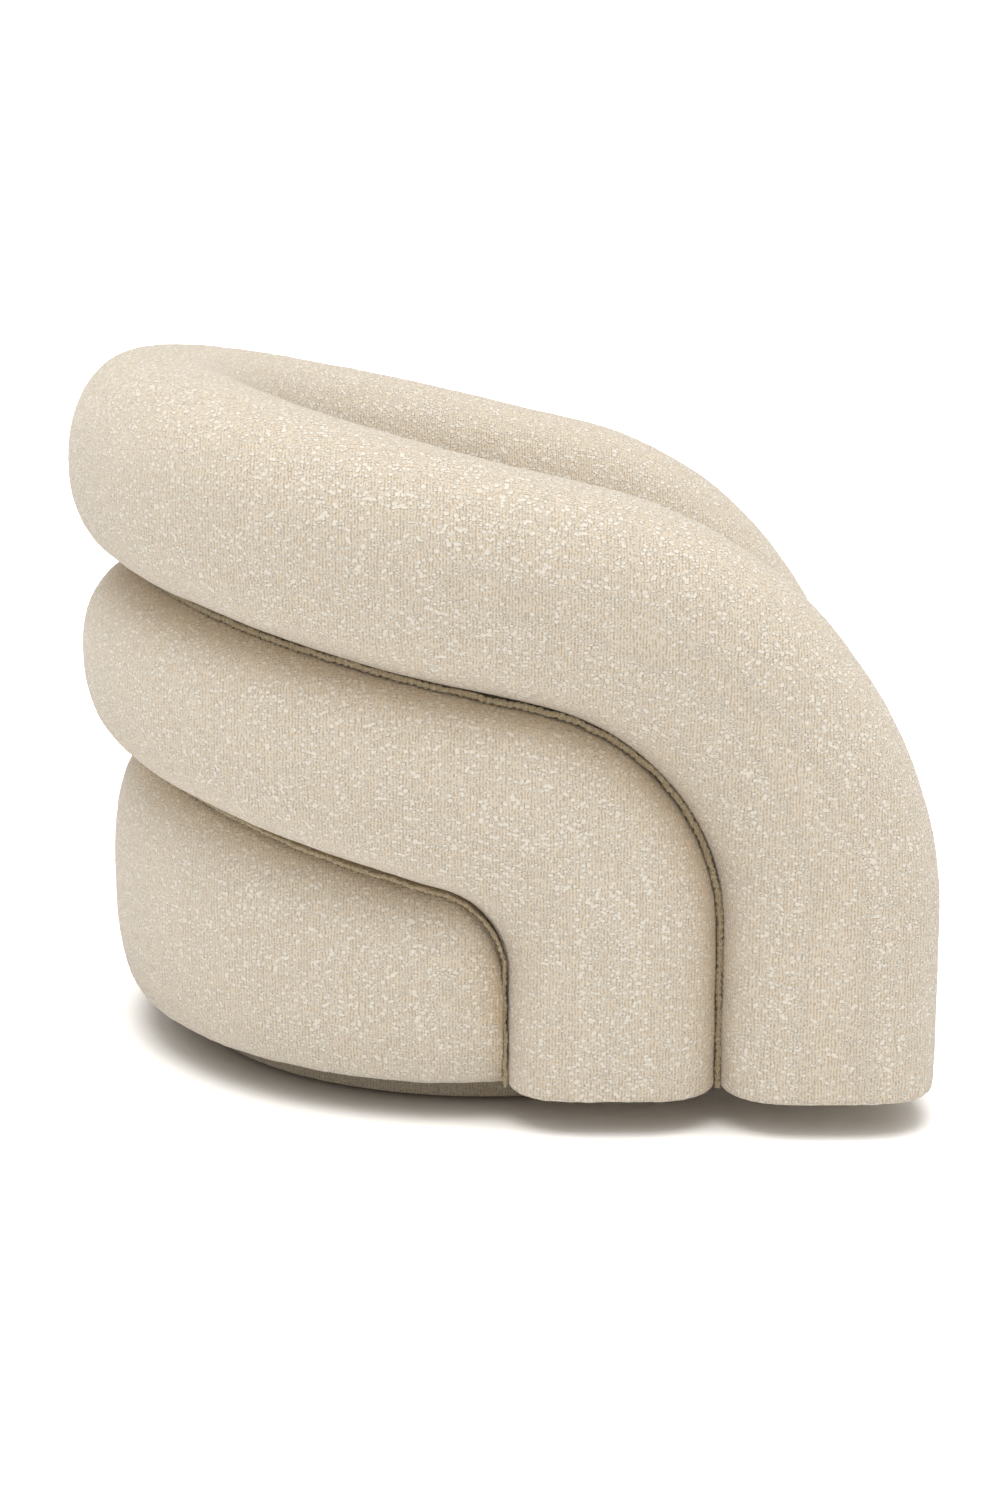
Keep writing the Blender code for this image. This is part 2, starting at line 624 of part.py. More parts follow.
def make_spring(name, x, front, back, seat):
    """A flat zigzag wire spring from the front rail to the back rail."""
    waves, per_wave, half_width = 8, 6, 0.026
    count = waves * per_wave
    rings = []
    height = RAIL_TOP + GAP + WIRE_RADIUS
    for i in range(count + 1):
        share = i / count
        phase = 2 * math.pi * waves * share
        calm = min(share, 1 - share, 0.06) / 0.06
        centre = Vector((x + half_width * calm * math.sin(phase), front + (back - front) * share, height))
        sway = half_width * calm * math.cos(phase) * 2 * math.pi * waves
        run = Vector((sway, back - front, 0.0)).normalized()
        side = Vector((run.y, -run.x, 0.0))
        rings.append([centre + side * WIRE_RADIUS * math.cos(a) + Vector((0, 0, WIRE_RADIUS * math.sin(a)))
                      for a in (2 * math.pi * k / 5 for k in range(5))])
    loft(name, rings, STEEL, seat)


def make_seat_deck(seat):
    """The padded platform under the loose cushion, and the padded front under its edge."""
    outline = seat_outline(INSIDE_HALF_WIDTH - 0.003, SEAT_FRONT_Y + 0.042, SEAT_BACK_Y - 0.004)
    prism("seat_deck", outline, DECK_Z, DECK_TOP, FOAM, seat)
    half = INSIDE_HALF_WIDTH - 0.0035
    profile = [(0.0415, 0.0375), (0.004, 0.0375), (-0.004, 0.060), (-0.006, 0.240),
               (0.006, DECK_TOP - 0.006), (0.016, DECK_TOP), (0.0415, DECK_TOP)]
    rings = [[Vector((side * half, SEAT_FRONT_Y + y, z)) for y, z in profile] for side in (-1, 1)]
    loft("front_apron", rings, BOUCLE, seat)


def cushion_rings(inset, bottom, top):
    """Rings of a boxed cushion from the underside to the top, rounded at the edges."""
    levels = [(0.016, bottom), (0.003, bottom + 0.012), (0.0, bottom + 0.045), (0.0, top - 0.045),
              (0.003, top - 0.014), (0.018, top)]
    rings = []
    for pull, z in levels:
        grown = inset + pull
        outline = seat_outline(CUSHION_HALF_WIDTH - grown, CUSHION_FRONT_Y + grown, CUSHION_BACK_Y - grown,
                               12, 0.045)
        rings.append([Vector((x, y, z)) for x, y in outline])
    return rings


def cushion_back(angle, inset):
    """A point of the cushion's rounded back in plan, and inset from its surface."""
    depth = CUSHION_BACK_Y - inset - BACK_CENTRE_Y
    return (CUSHION_HALF_WIDTH - inset) * math.cos(angle), BACK_CENTRE_Y + depth * math.sin(angle)


def make_cushion(loose):
    """A loose cushion: foam core in a cover, which is closed by a zip along the back."""
    bottom = DECK_TOP + GAP
    skin, zip_half = 0.003, 0.005
    cover = loft("cushion_cover", cushion_rings(0.0, bottom, CUSHION_TOP), BOUCLE, loose)
    hollow = cushion_rings(skin, bottom + skin, CUSHION_TOP - skin)
    cut(cover, as_cutter(loft("cushion_hollow", hollow, FOAM)))
    core = cushion_rings(skin + 0.001, bottom + skin + 0.001, CUSHION_TOP - skin - 0.001)
    loft("cushion_core", core, FOAM, loose)
    middle = (bottom + CUSHION_TOP) / 2
    slot_low = (-0.07, CUSHION_BACK_Y - 0.03, middle - zip_half)
    slot_high = (0.07, CUSHION_BACK_Y + 0.01, middle + zip_half)
    cut(cover, as_cutter(box("zip_slot", slot_low, slot_high, STEEL)))
    rings = []
    start = math.acos(0.069 / CUSHION_HALF_WIDTH)
    for i in range(7):
        angle = start + (math.pi - 2 * start) * i / 6
        outer, inner = cushion_back(angle, 0.0012), cushion_back(angle, 0.0028)
        rings.append([Vector((*place, middle + rise)) for place, rise in
                      ((outer, -0.0045), (outer, 0.0045), (inner, 0.0045), (inner, -0.0045))])
    loft("cushion_zip", rings, NYLON, loose)


def main():
    clear_scene()
    base = add_empty("base_frame", (0.0, 0.0, 0.0))
    cage = add_empty("bearing_axis", (0.0, 0.0, BOARD_Z))
    seat = add_empty("swivel_axis", (0.0, 0.0, BOARD_Z))
    loose = add_empty("cushion_lift", (0.0, 0.0, DECK_TOP))
    make_plinth(base)
    make_swivel(base, cage, seat)
    make_base_board(seat)
    make_side_panels(seat)
    make_back_panel(seat)
    make_posts(seat)
    make_seat_box(seat)
    make_seat_deck(seat)
    make_inner_pad(seat)
    make_leg_boards(seat)
    make_top_roll(seat)
    make_top_hoop(seat)
    make_middle_roll(seat)
    make_lower_roll(seat)
    make_welt("upper_welt", upper_crease(), 0.001, seat)
    make_welt("lower_welt", lower_crease(), 0.002, seat)
    make_cushion(loose)


main()
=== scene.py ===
"""Looks of the swivel tub armchair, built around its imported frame.

Metres, +Z up, the chair faces -Y. The rolls, welts, inner pad and plinth band are fine meshes made by
formula around the frame's sizes. The seat cushion and the front apron are blown up by a cloth simulation.
Every surface has a node material.
"""

import math

import bmesh
import bpy
import numpy as np
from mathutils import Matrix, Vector


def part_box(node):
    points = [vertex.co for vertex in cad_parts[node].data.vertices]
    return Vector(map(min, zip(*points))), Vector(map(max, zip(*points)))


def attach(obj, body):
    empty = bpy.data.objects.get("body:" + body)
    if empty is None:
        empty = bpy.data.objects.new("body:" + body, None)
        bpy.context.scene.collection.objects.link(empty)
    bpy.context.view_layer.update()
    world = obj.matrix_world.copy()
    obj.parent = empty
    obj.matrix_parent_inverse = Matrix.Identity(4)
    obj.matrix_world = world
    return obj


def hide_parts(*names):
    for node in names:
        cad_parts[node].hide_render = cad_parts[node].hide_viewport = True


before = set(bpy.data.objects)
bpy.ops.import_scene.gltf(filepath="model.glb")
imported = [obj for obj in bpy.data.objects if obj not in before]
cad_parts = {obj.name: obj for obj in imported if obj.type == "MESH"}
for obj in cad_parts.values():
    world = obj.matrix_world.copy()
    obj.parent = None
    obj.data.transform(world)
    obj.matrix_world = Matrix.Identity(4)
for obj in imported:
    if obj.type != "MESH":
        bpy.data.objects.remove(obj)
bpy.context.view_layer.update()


def node_box(name):
    low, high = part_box(name)
    return Vector(low), Vector(high)


# ---------------------------------------------------------------- sizes, from the frame

TOP_LOW, TOP_HIGH = node_box("top_roll")
SKIRT = TOP_LOW.z - 0.002               # lowest edge of the top and middle rolls
LOWER_SKIRT = SKIRT - 0.003             # hem of the lower roll
HALF_WIDTH = TOP_HIGH.x
BACK_Y = TOP_HIGH.y
ROLL_PROUD = 0.043                      # how far a roll stands out from the wall's surface
ROLL_DEPTH = 0.092                      # half thickness of a roll, square to the wall
ROLL_HEIGHT = 0.104                     # half width of the top roll along the wall
ROLL_BACK = ROLL_DEPTH - ROLL_PROUD
WALL = HALF_WIDTH - ROLL_PROUD          # half width of the wall, and radius of its round back
CENTRE_Y = BACK_Y - ROLL_PROUD - WALL   # centre of the round back
UPPER_LEG_Y = TOP_LOW.y + 2 * ROLL_HEIGHT
UPPER_ELBOW, UPPER_SLOPE = 0.214, math.radians(12.4)
LOWER_LEG_Y, LOWER_ELBOW, LOWER_SLOPE = -0.018, 0.080, math.radians(13.3)
LOWER_Z = 0.2105                        # height of the lower crease's line at y = 0
UPPER_Z = (TOP_HIGH.z - ROLL_HEIGHT - ROLL_HEIGHT / math.cos(UPPER_SLOPE)
           - math.tan(UPPER_SLOPE) * (CENTRE_Y + WALL))
MIDDLE_PROUD = node_box("middle_roll")[1].x - WALL
LOWER_PROUD = node_box("lower_roll")[1].x - WALL - 0.004
SEAM_ANGLE = math.radians(46)           # where the back's cover is sewn to the sides'
LEG_ROWS, ELBOW_ROWS, ARM_ROWS, BACK_ROWS = 28, 84, 14, 128     # sections along each half of a roll
LOWER_ELBOW_ROWS = 60
YARN_LOOP, WELT_LOOP = 0.0085, 0.0042   # sizes of the yarn's loops in the boucle and the finer welt cloth
SECTION_POWER, LEG_FULLER = 2.28, 0.9   # superellipse power of a roll's section, and its increase on the legs
SEAM_SHADE, SEAM_SHADE_WIDTH = 0.7, 0.004   # strength and width of the painted shade along a crease's edge
UP = np.array([0.0, 0.0, 1.0])

# ---------------------------------------------------------------- looks

WALE_PITCH = 0.0029                     # distance between the knit's upright wales
# Cream colours: the plain cloth; painted shade in the grooves between the knit's wales; painted light on the
# raised tops of the yarn's loops; random darker patches.
CREAM_BASE, CREAM_GROOVE_SHADE = (0.805, 0.720, 0.598), (0.500, 0.380, 0.240)
CREAM_LOOP_HIGHLIGHT, CREAM_PATCH = (0.865, 0.797, 0.694), (0.76, 0.66, 0.52)
CREASE_SHADE_TINT = (0.84, 0.75, 0.62)           # painted shade: colour multiplied in beside the creases, where shade falls
WELT_TINT, PLINTH_TINT = (0.60, 0.545, 0.42), (0.62, 0.59, 0.53)
THREAD_COLOURS = ((0.16, 0.12, 0.07), (0.25, 0.20, 0.13))
# slot: two colours, roughness, grain (per metre on each axis), metallic, depth of the relief
FINISHES = {
    "plywood": (((0.50, 0.33, 0.18), (0.76, 0.58, 0.37)), 0.62, (26.0, 5.0, 640.0)),
    "hardwood": (((0.30, 0.17, 0.08), (0.52, 0.34, 0.19)), 0.55, (90.0, 90.0, 6.0)),
    "steel": (((0.40, 0.40, 0.41), (0.58, 0.58, 0.60)), 0.34, (160.0, 160.0, 160.0), 1.0, 0.0001),
    "foam": (((0.72, 0.66, 0.46), (0.88, 0.84, 0.66)), 0.92, (500.0, 500.0, 500.0), 0.0, 0.0006),
    "lining": (((0.018, 0.018, 0.019), (0.050, 0.050, 0.052)), 0.90, (900.0, 900.0, 900.0), 0.0, 0.0003),
    "nylon": (((0.42, 0.42, 0.40), (0.56, 0.56, 0.54)), 0.42, (220.0, 220.0, 220.0), 0.0, 0.0001),
}
# slot: beginnings of the names of the frame nodes that have it
FRAME_SLOTS = {
    "plywood": ("plinth_lower_disc", "plinth_upper_disc", "base_board", "side_panel", "back_panel",
                "leg_board"),
    "hardwood": ("front_post", "back_post", "seat_rail"),
    "steel": ("swivel_", "ball_cage", "top_roll_hoop", "base_bolt", "seat_bolt", "seat_spring"),
    "foam": ("seat_deck", "cushion_core"),
    "lining": ("dust_cover",),
    "nylon": ("glide_", "cushion_zip"),
}

WORLD_LIGHT, BACKDROP_LIGHT = 0.635, 1.2        # the studio as it lights the chair, and as it is seen
SUN_LIGHT, SUN_ANGLE, SUN_FROM = 2.15, math.radians(50), (-0.10, 0.02, 1.0)
FLOOR_HALF = 30.0
FLOOR_BOUNCE = (0.92, 0.92, 0.92)
# the floor's colour to the camera, its painted contact shadow close under the chair, and how far that painted
# shadow reaches
FLOOR_SEEN, FLOOR_PAINTED_SHADOW, CONTACT_REACH = (1.60, 1.60, 1.60), (0.42, 0.39, 0.35), 0.062
CAMERA_TARGET, CAMERA_ELEVATION = (0.0, -0.0136, 0.2769), math.radians(12.675)
CAMERA_DISTANCE, CAMERA_LENS, CAMERA_SENSOR = 2.6994, 61.1, 36.0

# ---------------------------------------------------------------- noise on points


def cell_random(cells, seed, channel):
    """A repeatable random number from 0 to 1 for each whole-number cell."""
    mixed = (cells[..., 0].astype(np.int64) * 73856093) ^ (cells[..., 1].astype(np.int64) * 19349663)
    mixed ^= cells[..., 2].astype(np.int64) * 83492791 + seed * 2654435761 + channel * 97531
    mixed = (mixed ^ (mixed >> 13)) * 1274126177 & 0xFFFFFFFF
    mixed = (mixed ^ (mixed >> 16)) * 2246822519 & 0xFFFFFFFF
    return ((mixed ^ (mixed >> 15)) & 0xFFFFFF) / float(0x1000000)


def soft_noise(points, size, seed):
    """Smooth noise from -1 to 1 with lumps of about the given size."""
    scaled = points / size
    base = np.floor(scaled)
    part = scaled - base
    part = part * part * (3 - 2 * part)
    total = np.zeros(len(points))
    for corner in range(8):
        offset = np.array([corner & 1, corner >> 1 & 1, corner >> 2 & 1])
        weight = np.prod(np.where(offset == 1, part, 1 - part), axis=1)
        total += weight * cell_random(base + offset, seed, 0)
    return total * 2 - 1


def nubs(points, size, seed):
    """Round loops of yarn: bumps from 0 to 1, one in each cell, of different sizes."""
    scaled = points / size
    base = np.floor(scaled)
    field = np.zeros(len(points))
    for x in (-1, 0, 1):
        for y in (-1, 0, 1):
            for z in (-1, 0, 1):
                cells = base + np.array([x, y, z])
                spot = cells + np.stack([cell_random(cells, seed, k) for k in (1, 2, 3)], axis=1)
                reach = 0.45 + 0.45 * cell_random(cells, seed, 4)
                near = 1 - np.sum((scaled - spot) ** 2, axis=1) / reach ** 2
                field = np.maximum(field, np.clip(near, 0, 1) * reach)
    return field


# ---------------------------------------------------------------- creases and sections


def wall_at(run):
    """Plan positions on the -X side, from distances along the wall past its straight side."""
    angle = np.maximum(run, 0) / WALL
    x = -WALL * np.cos(angle)
    y = CENTRE_Y + np.where(run > 0, WALL * np.sin(angle), run)
    return x, y


def run_at(y):
    past = y - CENTRE_Y
    return np.where(past <= 0, past, WALL * np.arcsin(np.clip(past / WALL, -1, 1)))


def back_runs():
    """Distances round the back from an eighth of its quarter circle, closer together at the sewn seam."""
    quarter = math.pi / 2 * WALL
    even = np.linspace(quarter / 8, quarter, BACK_ROWS)
    seam, close = SEAM_ANGLE * WALL, 0.0008
    beside_seam = seam + np.array([-3 * close, -2 * close, -close, 0, close, 2 * close, 3 * close])
    return np.sort(np.concatenate([even[np.abs(even - seam) > 4 * close], beside_seam]))


def crease(leg_y, elbow, slope, line_z, elbow_rows=ELBOW_ROWS):
    """The whole U of one crease: points, outward directions, and directions across the roll.

    Up the leg, round the elbow's arc, and along a line that rises with the slope to the back.
    """
    centre_y = leg_y + elbow
    centre_z = line_z + math.tan(slope) * centre_y - elbow / math.cos(slope)
    angle = math.pi - np.linspace(0, math.pi / 2 - slope, elbow_rows)
    leg_z = np.linspace(SKIRT, centre_z, LEG_ROWS, endpoint=False)
    run = run_at(np.concatenate([np.full(LEG_ROWS, leg_y), centre_y + elbow * np.cos(angle)]))
    z = np.concatenate([leg_z, centre_z + elbow * np.sin(angle)])
    rest = back_runs()
    rest = np.concatenate([np.linspace(run[-1], rest[0], ARM_ROWS + 2)[1:-1], rest])
    x, y = wall_at(np.concatenate([run, rest]))
    z = np.concatenate([z, line_z + math.tan(slope) * y[len(z):]])
    half = np.stack([x, y, z], axis=1)
    points = np.concatenate([half, half[-2::-1] * [-1, 1, 1]])
    away = np.stack([points[:, 0], np.maximum(points[:, 1] - CENTRE_Y, 0), np.zeros(len(points))], axis=1)
    out = away / np.linalg.norm(away, axis=1)[:, None]
    along = np.gradient(points, axis=0)
    along /= np.linalg.norm(along, axis=1)[:, None]
    along[0], along[-1] = (0, 0, 1), (0, 0, -1)
    across = np.cross(along, out)
    across /= np.linalg.norm(across, axis=1)[:, None]
    return points, out, across


def upper_crease():
    return crease(UPPER_LEG_Y, UPPER_ELBOW, UPPER_SLOPE, UPPER_Z)


def lower_crease(elbow_rows=ELBOW_ROWS):
    return crease(LOWER_LEG_Y, LOWER_ELBOW, LOWER_SLOPE, LOWER_Z, elbow_rows)


def roll_axis():
    line_z = UPPER_Z + ROLL_HEIGHT / math.cos(UPPER_SLOPE)
    return crease(UPPER_LEG_Y - ROLL_HEIGHT, UPPER_ELBOW + ROLL_HEIGHT, UPPER_SLOPE, line_z)


def rounded(angle, power):
    """Cosine and sine of a superellipse: power 2 is an ellipse, and more is fuller."""
    c, s = np.cos(angle)[None, :], np.sin(angle)[None, :]
    share = 2 / power[:, None]
    return np.sign(c) * np.abs(c) ** share, np.sign(s) * np.abs(s) ** share


def back_share(points):
    """0 on the sides and 1 on the back of the wall, and smooth between."""
    angle = np.arctan2(points[:, 1] - CENTRE_Y, np.abs(points[:, 0]))
    share = np.clip((angle - math.radians(15)) / math.radians(55), 0, 1)
    return share * share * (3 - 2 * share)


def leg_share(points):
    """0 above and on the back, and 1 on the legs near the floor."""
    return np.clip((0.27 - points[:, 2]) / 0.24, 0, 1) * (1 - back_share(points))


# ---------------------------------------------------------------- meshes


def grid_faces(rows, columns, loop_rows=False):
    """Faces of a grid of points, numbered row by row. Its columns form loops."""
    row_count = rows if loop_rows else rows - 1
    i, j = np.meshgrid(np.arange(row_count), np.arange(columns), indexing="ij")
    i2, j2 = (i + 1) % rows, (j + 1) % columns
    corners = [i * columns + j, i * columns + j2, i2 * columns + j2, i2 * columns + j]
    return np.stack(corners, axis=-1).reshape(-1, 4)


def length_along(points):
    """Distance of each point from the first, along the line through them."""
    return np.concatenate([[0], np.cumsum(np.linalg.norm(np.diff(points, axis=0), axis=1))])


def resampled(values, span, even):
    """Values given at the distances in span, at the distances in even instead."""
    return np.stack([np.interp(even, span, column) for column in values.T], axis=1)


def evenly_spaced(loop, step):
    """A closed plan, whose last point repeats its first, as evenly spaced points."""
    span = length_along(loop)
    return resampled(loop, span, np.linspace(0, span[-1], int(span[-1] / step), endpoint=False))


def add_painted_shade(obj, painted_shade):
    """Stores painted crease shade, from 0 to 1, for the material to darken the colour with."""
    values = obj.data.attributes.new("painted_shade", "FLOAT", "POINT")
    values.data.foreach_set("value", painted_shade.reshape(-1).astype(np.float32))


def make_mesh(name, points, faces, material, caps=()):
    """An object from numpy points and quads. caps are extra faces, each a list of point numbers."""
    mesh = bpy.data.meshes.new(name)
    sizes = np.concatenate([np.full(len(faces), 4), np.array([len(c) for c in caps], dtype=int)])
    corners = np.concatenate([faces.reshape(-1)] + [np.array(c) for c in caps])
    mesh.vertices.add(len(points))
    mesh.vertices.foreach_set("co", points.astype(np.float32).reshape(-1))
    mesh.loops.add(len(corners))
    mesh.loops.foreach_set("vertex_index", corners.astype(np.int32))
    mesh.polygons.add(len(sizes))
    starts = np.concatenate([[0], np.cumsum(sizes)[:-1]])
    mesh.polygons.foreach_set("loop_start", starts.astype(np.int32))
    mesh.update(calc_edges=True)
    mesh.validate()
    bm = bmesh.new()
    bm.from_mesh(mesh)
    bmesh.ops.recalc_face_normals(bm, faces=bm.faces)
    bm.to_mesh(mesh)
    bm.free()
    mesh.shade_smooth()
    mesh.materials.append(material)
    return add_object(name, mesh)


def grid_mesh(name, grid, material):
    """An object from a grid of points whose columns form loops, closed with a face at each end."""
    rows, columns = grid.shape[:2]
    caps = [list(range(columns))[::-1], list(range((rows - 1) * columns, rows * columns))]
    return make_mesh(name, grid.reshape(-1, 3), grid_faces(rows, columns), material, caps)


def looped_mesh(name, grid, material):
    """An object from a grid of points whose rows and columns both form loops."""
    return make_mesh(name, grid.reshape(-1, 3), grid_faces(*grid.shape[:2], loop_rows=True), material)


def grid_normals(grid, outward_hint):
    """Normals of a grid whose columns form loops, turned to agree with the hint."""
    down = np.gradient(grid, axis=0)
    wrapped = np.concatenate([grid[:, -1:], grid, grid[:, :1]], axis=1)
    over = (wrapped[:, 2:] - wrapped[:, :-2]) / 2
    normal = np.cross(down, over)
    normal /= np.maximum(np.linalg.norm(normal, axis=2), 1e-12)[..., None]
    facing = np.sum(normal * outward_hint, axis=2, keepdims=True)
    return normal * np.sign(np.median(facing))


def foot_rings(ring, centre, radius, steps=6):
    """Rings that round off the lower edge of a leg and close in towards its middle."""
    rings = []
    reach = np.linalg.norm(ring - centre, axis=1)[:, None]
    for i in range(steps + 1):
        angle = math.pi / 2 * i / steps
        inward = radius * (1 - math.cos(angle))
        moved = centre + (ring - centre) * (1 - inward / reach)
        moved[:, 2] = SKIRT + radius * (1 - math.sin(angle))
        rings.append(moved)
    for share in (0.75, 0.5, 0.25):
        moved = centre + (ring - centre) * share * (1 - radius / reach)
        moved[:, 2] = SKIRT
        rings.append(moved)
    return rings


def close_feet(grid, centres, radius=0.007):
    """Adds a rounded foot to both ends of a roll that stands upright on them."""
    first, last = grid[0].copy(), grid[-1].copy()
    body = grid[1:-1]
    keep = (body[:, :, 2].min(axis=1) > SKIRT + radius * 1.05)
    body = body[keep]
    head = foot_rings(first, centres[0], radius)[::-1]
    tail = foot_rings(last, centres[1], radius)
    return np.concatenate([np.array(head), body, np.array(tail)])


def cover(points, normals, crease_distance, seed, lumps=1.0):
    """Moves a roll's surface as its cloth and filling would: soft lumps, yarn loops, a sewn seam."""
    flat = points.reshape(-1, 3)
    out_of_crease = np.clip(crease_distance.reshape(-1) / 0.030, 0.0, 1.0)
    push = 0.0011 * lumps * soft_noise(flat, 0.085, seed)
    push += 0.0005 * lumps * soft_noise(flat, 0.031, seed + 1)
    push += (0.0001 + 0.0007 * out_of_crease) * (nubs(flat, YARN_LOOP, seed + 2) - 0.3)
    angle = np.arctan2(flat[:, 1] - CENTRE_Y, np.abs(flat[:, 0]))
    aside = (angle - SEAM_ANGLE) * WALL
    stitch_width, hollow_width, seam_depth = 0.0016, 0.009, 0.0005
    push -= seam_depth * (np.exp(-(aside / stitch_width) ** 2) + np.exp(-(aside / hollow_width) ** 2))
    return points + normals * push.reshape(points.shape[:2])[..., None]


def make_top_roll(material):
    """The fat roll that is front leg, arm and back rail. It sags at the back and is slimmer on the legs."""
    sides, sag, slimmer = 152, 0.085, 0.032
    path, out, across = roll_axis()
    angle = np.linspace(0, 2 * math.pi, sides, endpoint=False)
    back, leg = back_share(path), leg_share(path)
    c, s = rounded(angle, SECTION_POWER + 0.06 * back + LEG_FULLER * leg)
    s = s - sag * back[:, None] * np.maximum(c, 0) * (1 - s * s)
    s = np.where(s > 0, s * (1 - slimmer * leg[:, None]), s)
    centre = path - out * ROLL_BACK
    grid = (centre[:, None] + out[:, None] * ROLL_DEPTH * c[..., None]
            + across[:, None] * ROLL_HEIGHT * s[..., None])
    grid = close_feet(grid, (centre[0], centre[-1]))
    normal = grid_normals(grid, grid - grid.mean(axis=1, keepdims=True))
    crease_gap = np.repeat((np.sin(angle) + 1)[None] * ROLL_HEIGHT, len(grid), axis=0)
    grid = cover(grid, normal, crease_gap, 11)
    roll = grid_mesh("top_roll_cover", grid, material)
    # painted shade along the roll's edge at the crease
    add_painted_shade(roll, SEAM_SHADE * np.exp(-crease_gap / SEAM_SHADE_WIDTH))
    finish_piece(roll, "seat_shell", ["top_roll"])


def half_section(upper, lower, out, proud, steps, power, low_power=None):
    """D-shaped sections between two creases: bulged outside and flat inside."""
    angle = np.linspace(0, math.pi, steps)
    c, s = rounded(angle, power)
    if low_power:
        low_c, low_s = rounded(angle, np.full(len(upper), low_power))
        below = (angle > math.pi / 2)[None, :]
        c, s = np.where(below, low_c, c), np.where(below, low_s, s)
    middle = (upper + lower) / 2 - out * ROLL_BACK
    half = (upper - lower) / 2
    bulge = ((ROLL_BACK + proud)[:, None] * s)[..., None]
    front = middle[:, None] + half[:, None] * c[..., None] + out[:, None] * bulge
    flat, clearance = np.array([-0.6, 0.0, 0.6]), 0.002
    inside = middle[:, None] + half[:, None] * flat[None, :, None] - out[:, None] * clearance
    return np.concatenate([front, inside], axis=1)


def section_gap(steps):
    """Distances of a half section's points from the crease at its nearer end."""
    half_height = 0.1
    front = (1 - np.abs(np.cos(np.linspace(0, math.pi, steps)))) * half_height
    return np.concatenate([front, np.zeros(3)])


def crease_shade_falloff(gap, width):
    """Painted shade that is strongest at a gap of 0 and fades out over the width."""
    return np.exp(-(gap / width) ** 1.4)


def make_middle_roll(material):
    """The roll between the two creases, with painted shade under the top roll."""
    steps, shade_width = 90, 0.022
    upper, out, _ = upper_crease()
    lower, _, _ = lower_crease()
    power = SECTION_POWER + 0.1 * back_share(upper) + LEG_FULLER * leg_share(upper)
    grid = half_section(upper, lower, out, np.full(len(upper), MIDDLE_PROUD), steps, power)
    ends = [(upper[i] + lower[i]) / 2 - out[i] * ROLL_BACK * 0.5 for i in (0, -1)]
    grid = close_feet(grid, ends)
    normal = grid_normals(grid, grid - grid.mean(axis=1, keepdims=True))
    gap = np.repeat(section_gap(steps)[None], len(grid), axis=0)
    grid = cover(grid, normal, gap, 23)
    upper_side = np.arange(grid.shape[1])[None, :] < steps / 2
    # painted shade: under the top roll's overhang on the upper side, and along the edge at the lower crease
    painted_shade = np.where(upper_side, crease_shade_falloff(gap, shade_width), SEAM_SHADE * np.exp(-gap / SEAM_SHADE_WIDTH))
    roll = grid_mesh("middle_roll_cover", grid, material)
    add_painted_shade(roll, painted_shade)
    finish_piece(roll, "seat_shell", ["middle_roll"])


def make_lower_roll(material):
    """The low panel inside the middle arch and round the back. Its front edges turn in to the crease."""
    steps, soft_edge, edge_depth, hem_power = 84, 0.062, 0.010, 2.9
    lower, out, _ = lower_crease(LOWER_ELBOW_ROWS)
    behind_leg = lower[:, 1] > LOWER_LEG_Y + 0.0008
    upper, out = lower[behind_leg], out[behind_leg]
    bottom = upper.copy()
    bottom[:, 2] = LOWER_SKIRT + 0.0008 * soft_noise(upper, 0.02, 91)
    behind = upper[:, 1] - LOWER_LEG_Y
    edge = np.clip(behind / soft_edge, 0, 1)
    proud = (edge_depth + LOWER_PROUD) * np.sqrt(1 - (1 - edge) ** 2) - edge_depth
    grid = half_section(upper, bottom, out, proud, steps, 2.25 + 0.1 * back_share(upper), hem_power)
    normal = grid_normals(grid, grid - grid.mean(axis=1, keepdims=True))
    gap = np.minimum(section_gap(steps)[None], behind[:, None])
    grid = cover(grid, normal, gap, 37)
    roll = grid_mesh("lower_roll_cover", grid, material)
    # painted shade under the middle roll at the crease, and along the front edge that turns in beside the leg
    hem = np.arange(grid.shape[1])[None, :] > steps / 2
    add_painted_shade(roll, np.maximum(np.where(hem, 0, crease_shade_falloff(gap, 0.020)), 0.6 * crease_shade_falloff(behind[:, None], 0.012)))
    finish_piece(roll, "seat_shell", ["lower_roll"])


def make_welt(name, crease_lines, depth, half_width, node, material, thread, seed):
    """A thin cloth-covered cord sewn into a crease, with its stitches pulling it in."""
    sides, step, end_gap = 14, 0.0016, 0.002
    pinch, pinch_pitch = 0.32, 0.0068
    deeper_at_back, shallower_on_legs = 0.006, 0.011
    span = length_along(crease_lines[0])
    even = np.arange(end_gap, span[-1] - end_gap, step)
    path, out, across = (resampled(values, span, even) for values in crease_lines)
    depth = depth + deeper_at_back * back_share(path)[:, None] - shallower_on_legs * leg_share(path)[:, None]
    angle = np.linspace(0, 2 * math.pi, sides, endpoint=False)
    pinched = 1 - pinch * np.abs(np.sin(even * math.pi / pinch_pitch)) ** 4
    wander = 0.0009 * soft_noise(path, 0.014, seed)
    centre = path - out * depth + across * wander[:, None]
    flatness = 0.8
    outward = (flatness * half_width * pinched)[:, None, None] * np.cos(angle)[None, :, None]
    sideways = (half_width * pinched)[:, None, None] * np.sin(angle)[None, :, None]
    grid = centre[:, None] + out[:, None] * outward + across[:, None] * sideways
    normal = grid_normals(grid, grid - centre[:, None])
    push = 0.0014 * (nubs(grid.reshape(-1, 3), WELT_LOOP, seed) - 0.4)
    grid = grid + normal * push.reshape(grid.shape[:2])[..., None]
    welt = grid_mesh(name, grid, material)
    finish_piece(welt, "seat_shell", [node])
    make_stitches(name + "_stitches", centre, out, across, half_width, thread, seed)


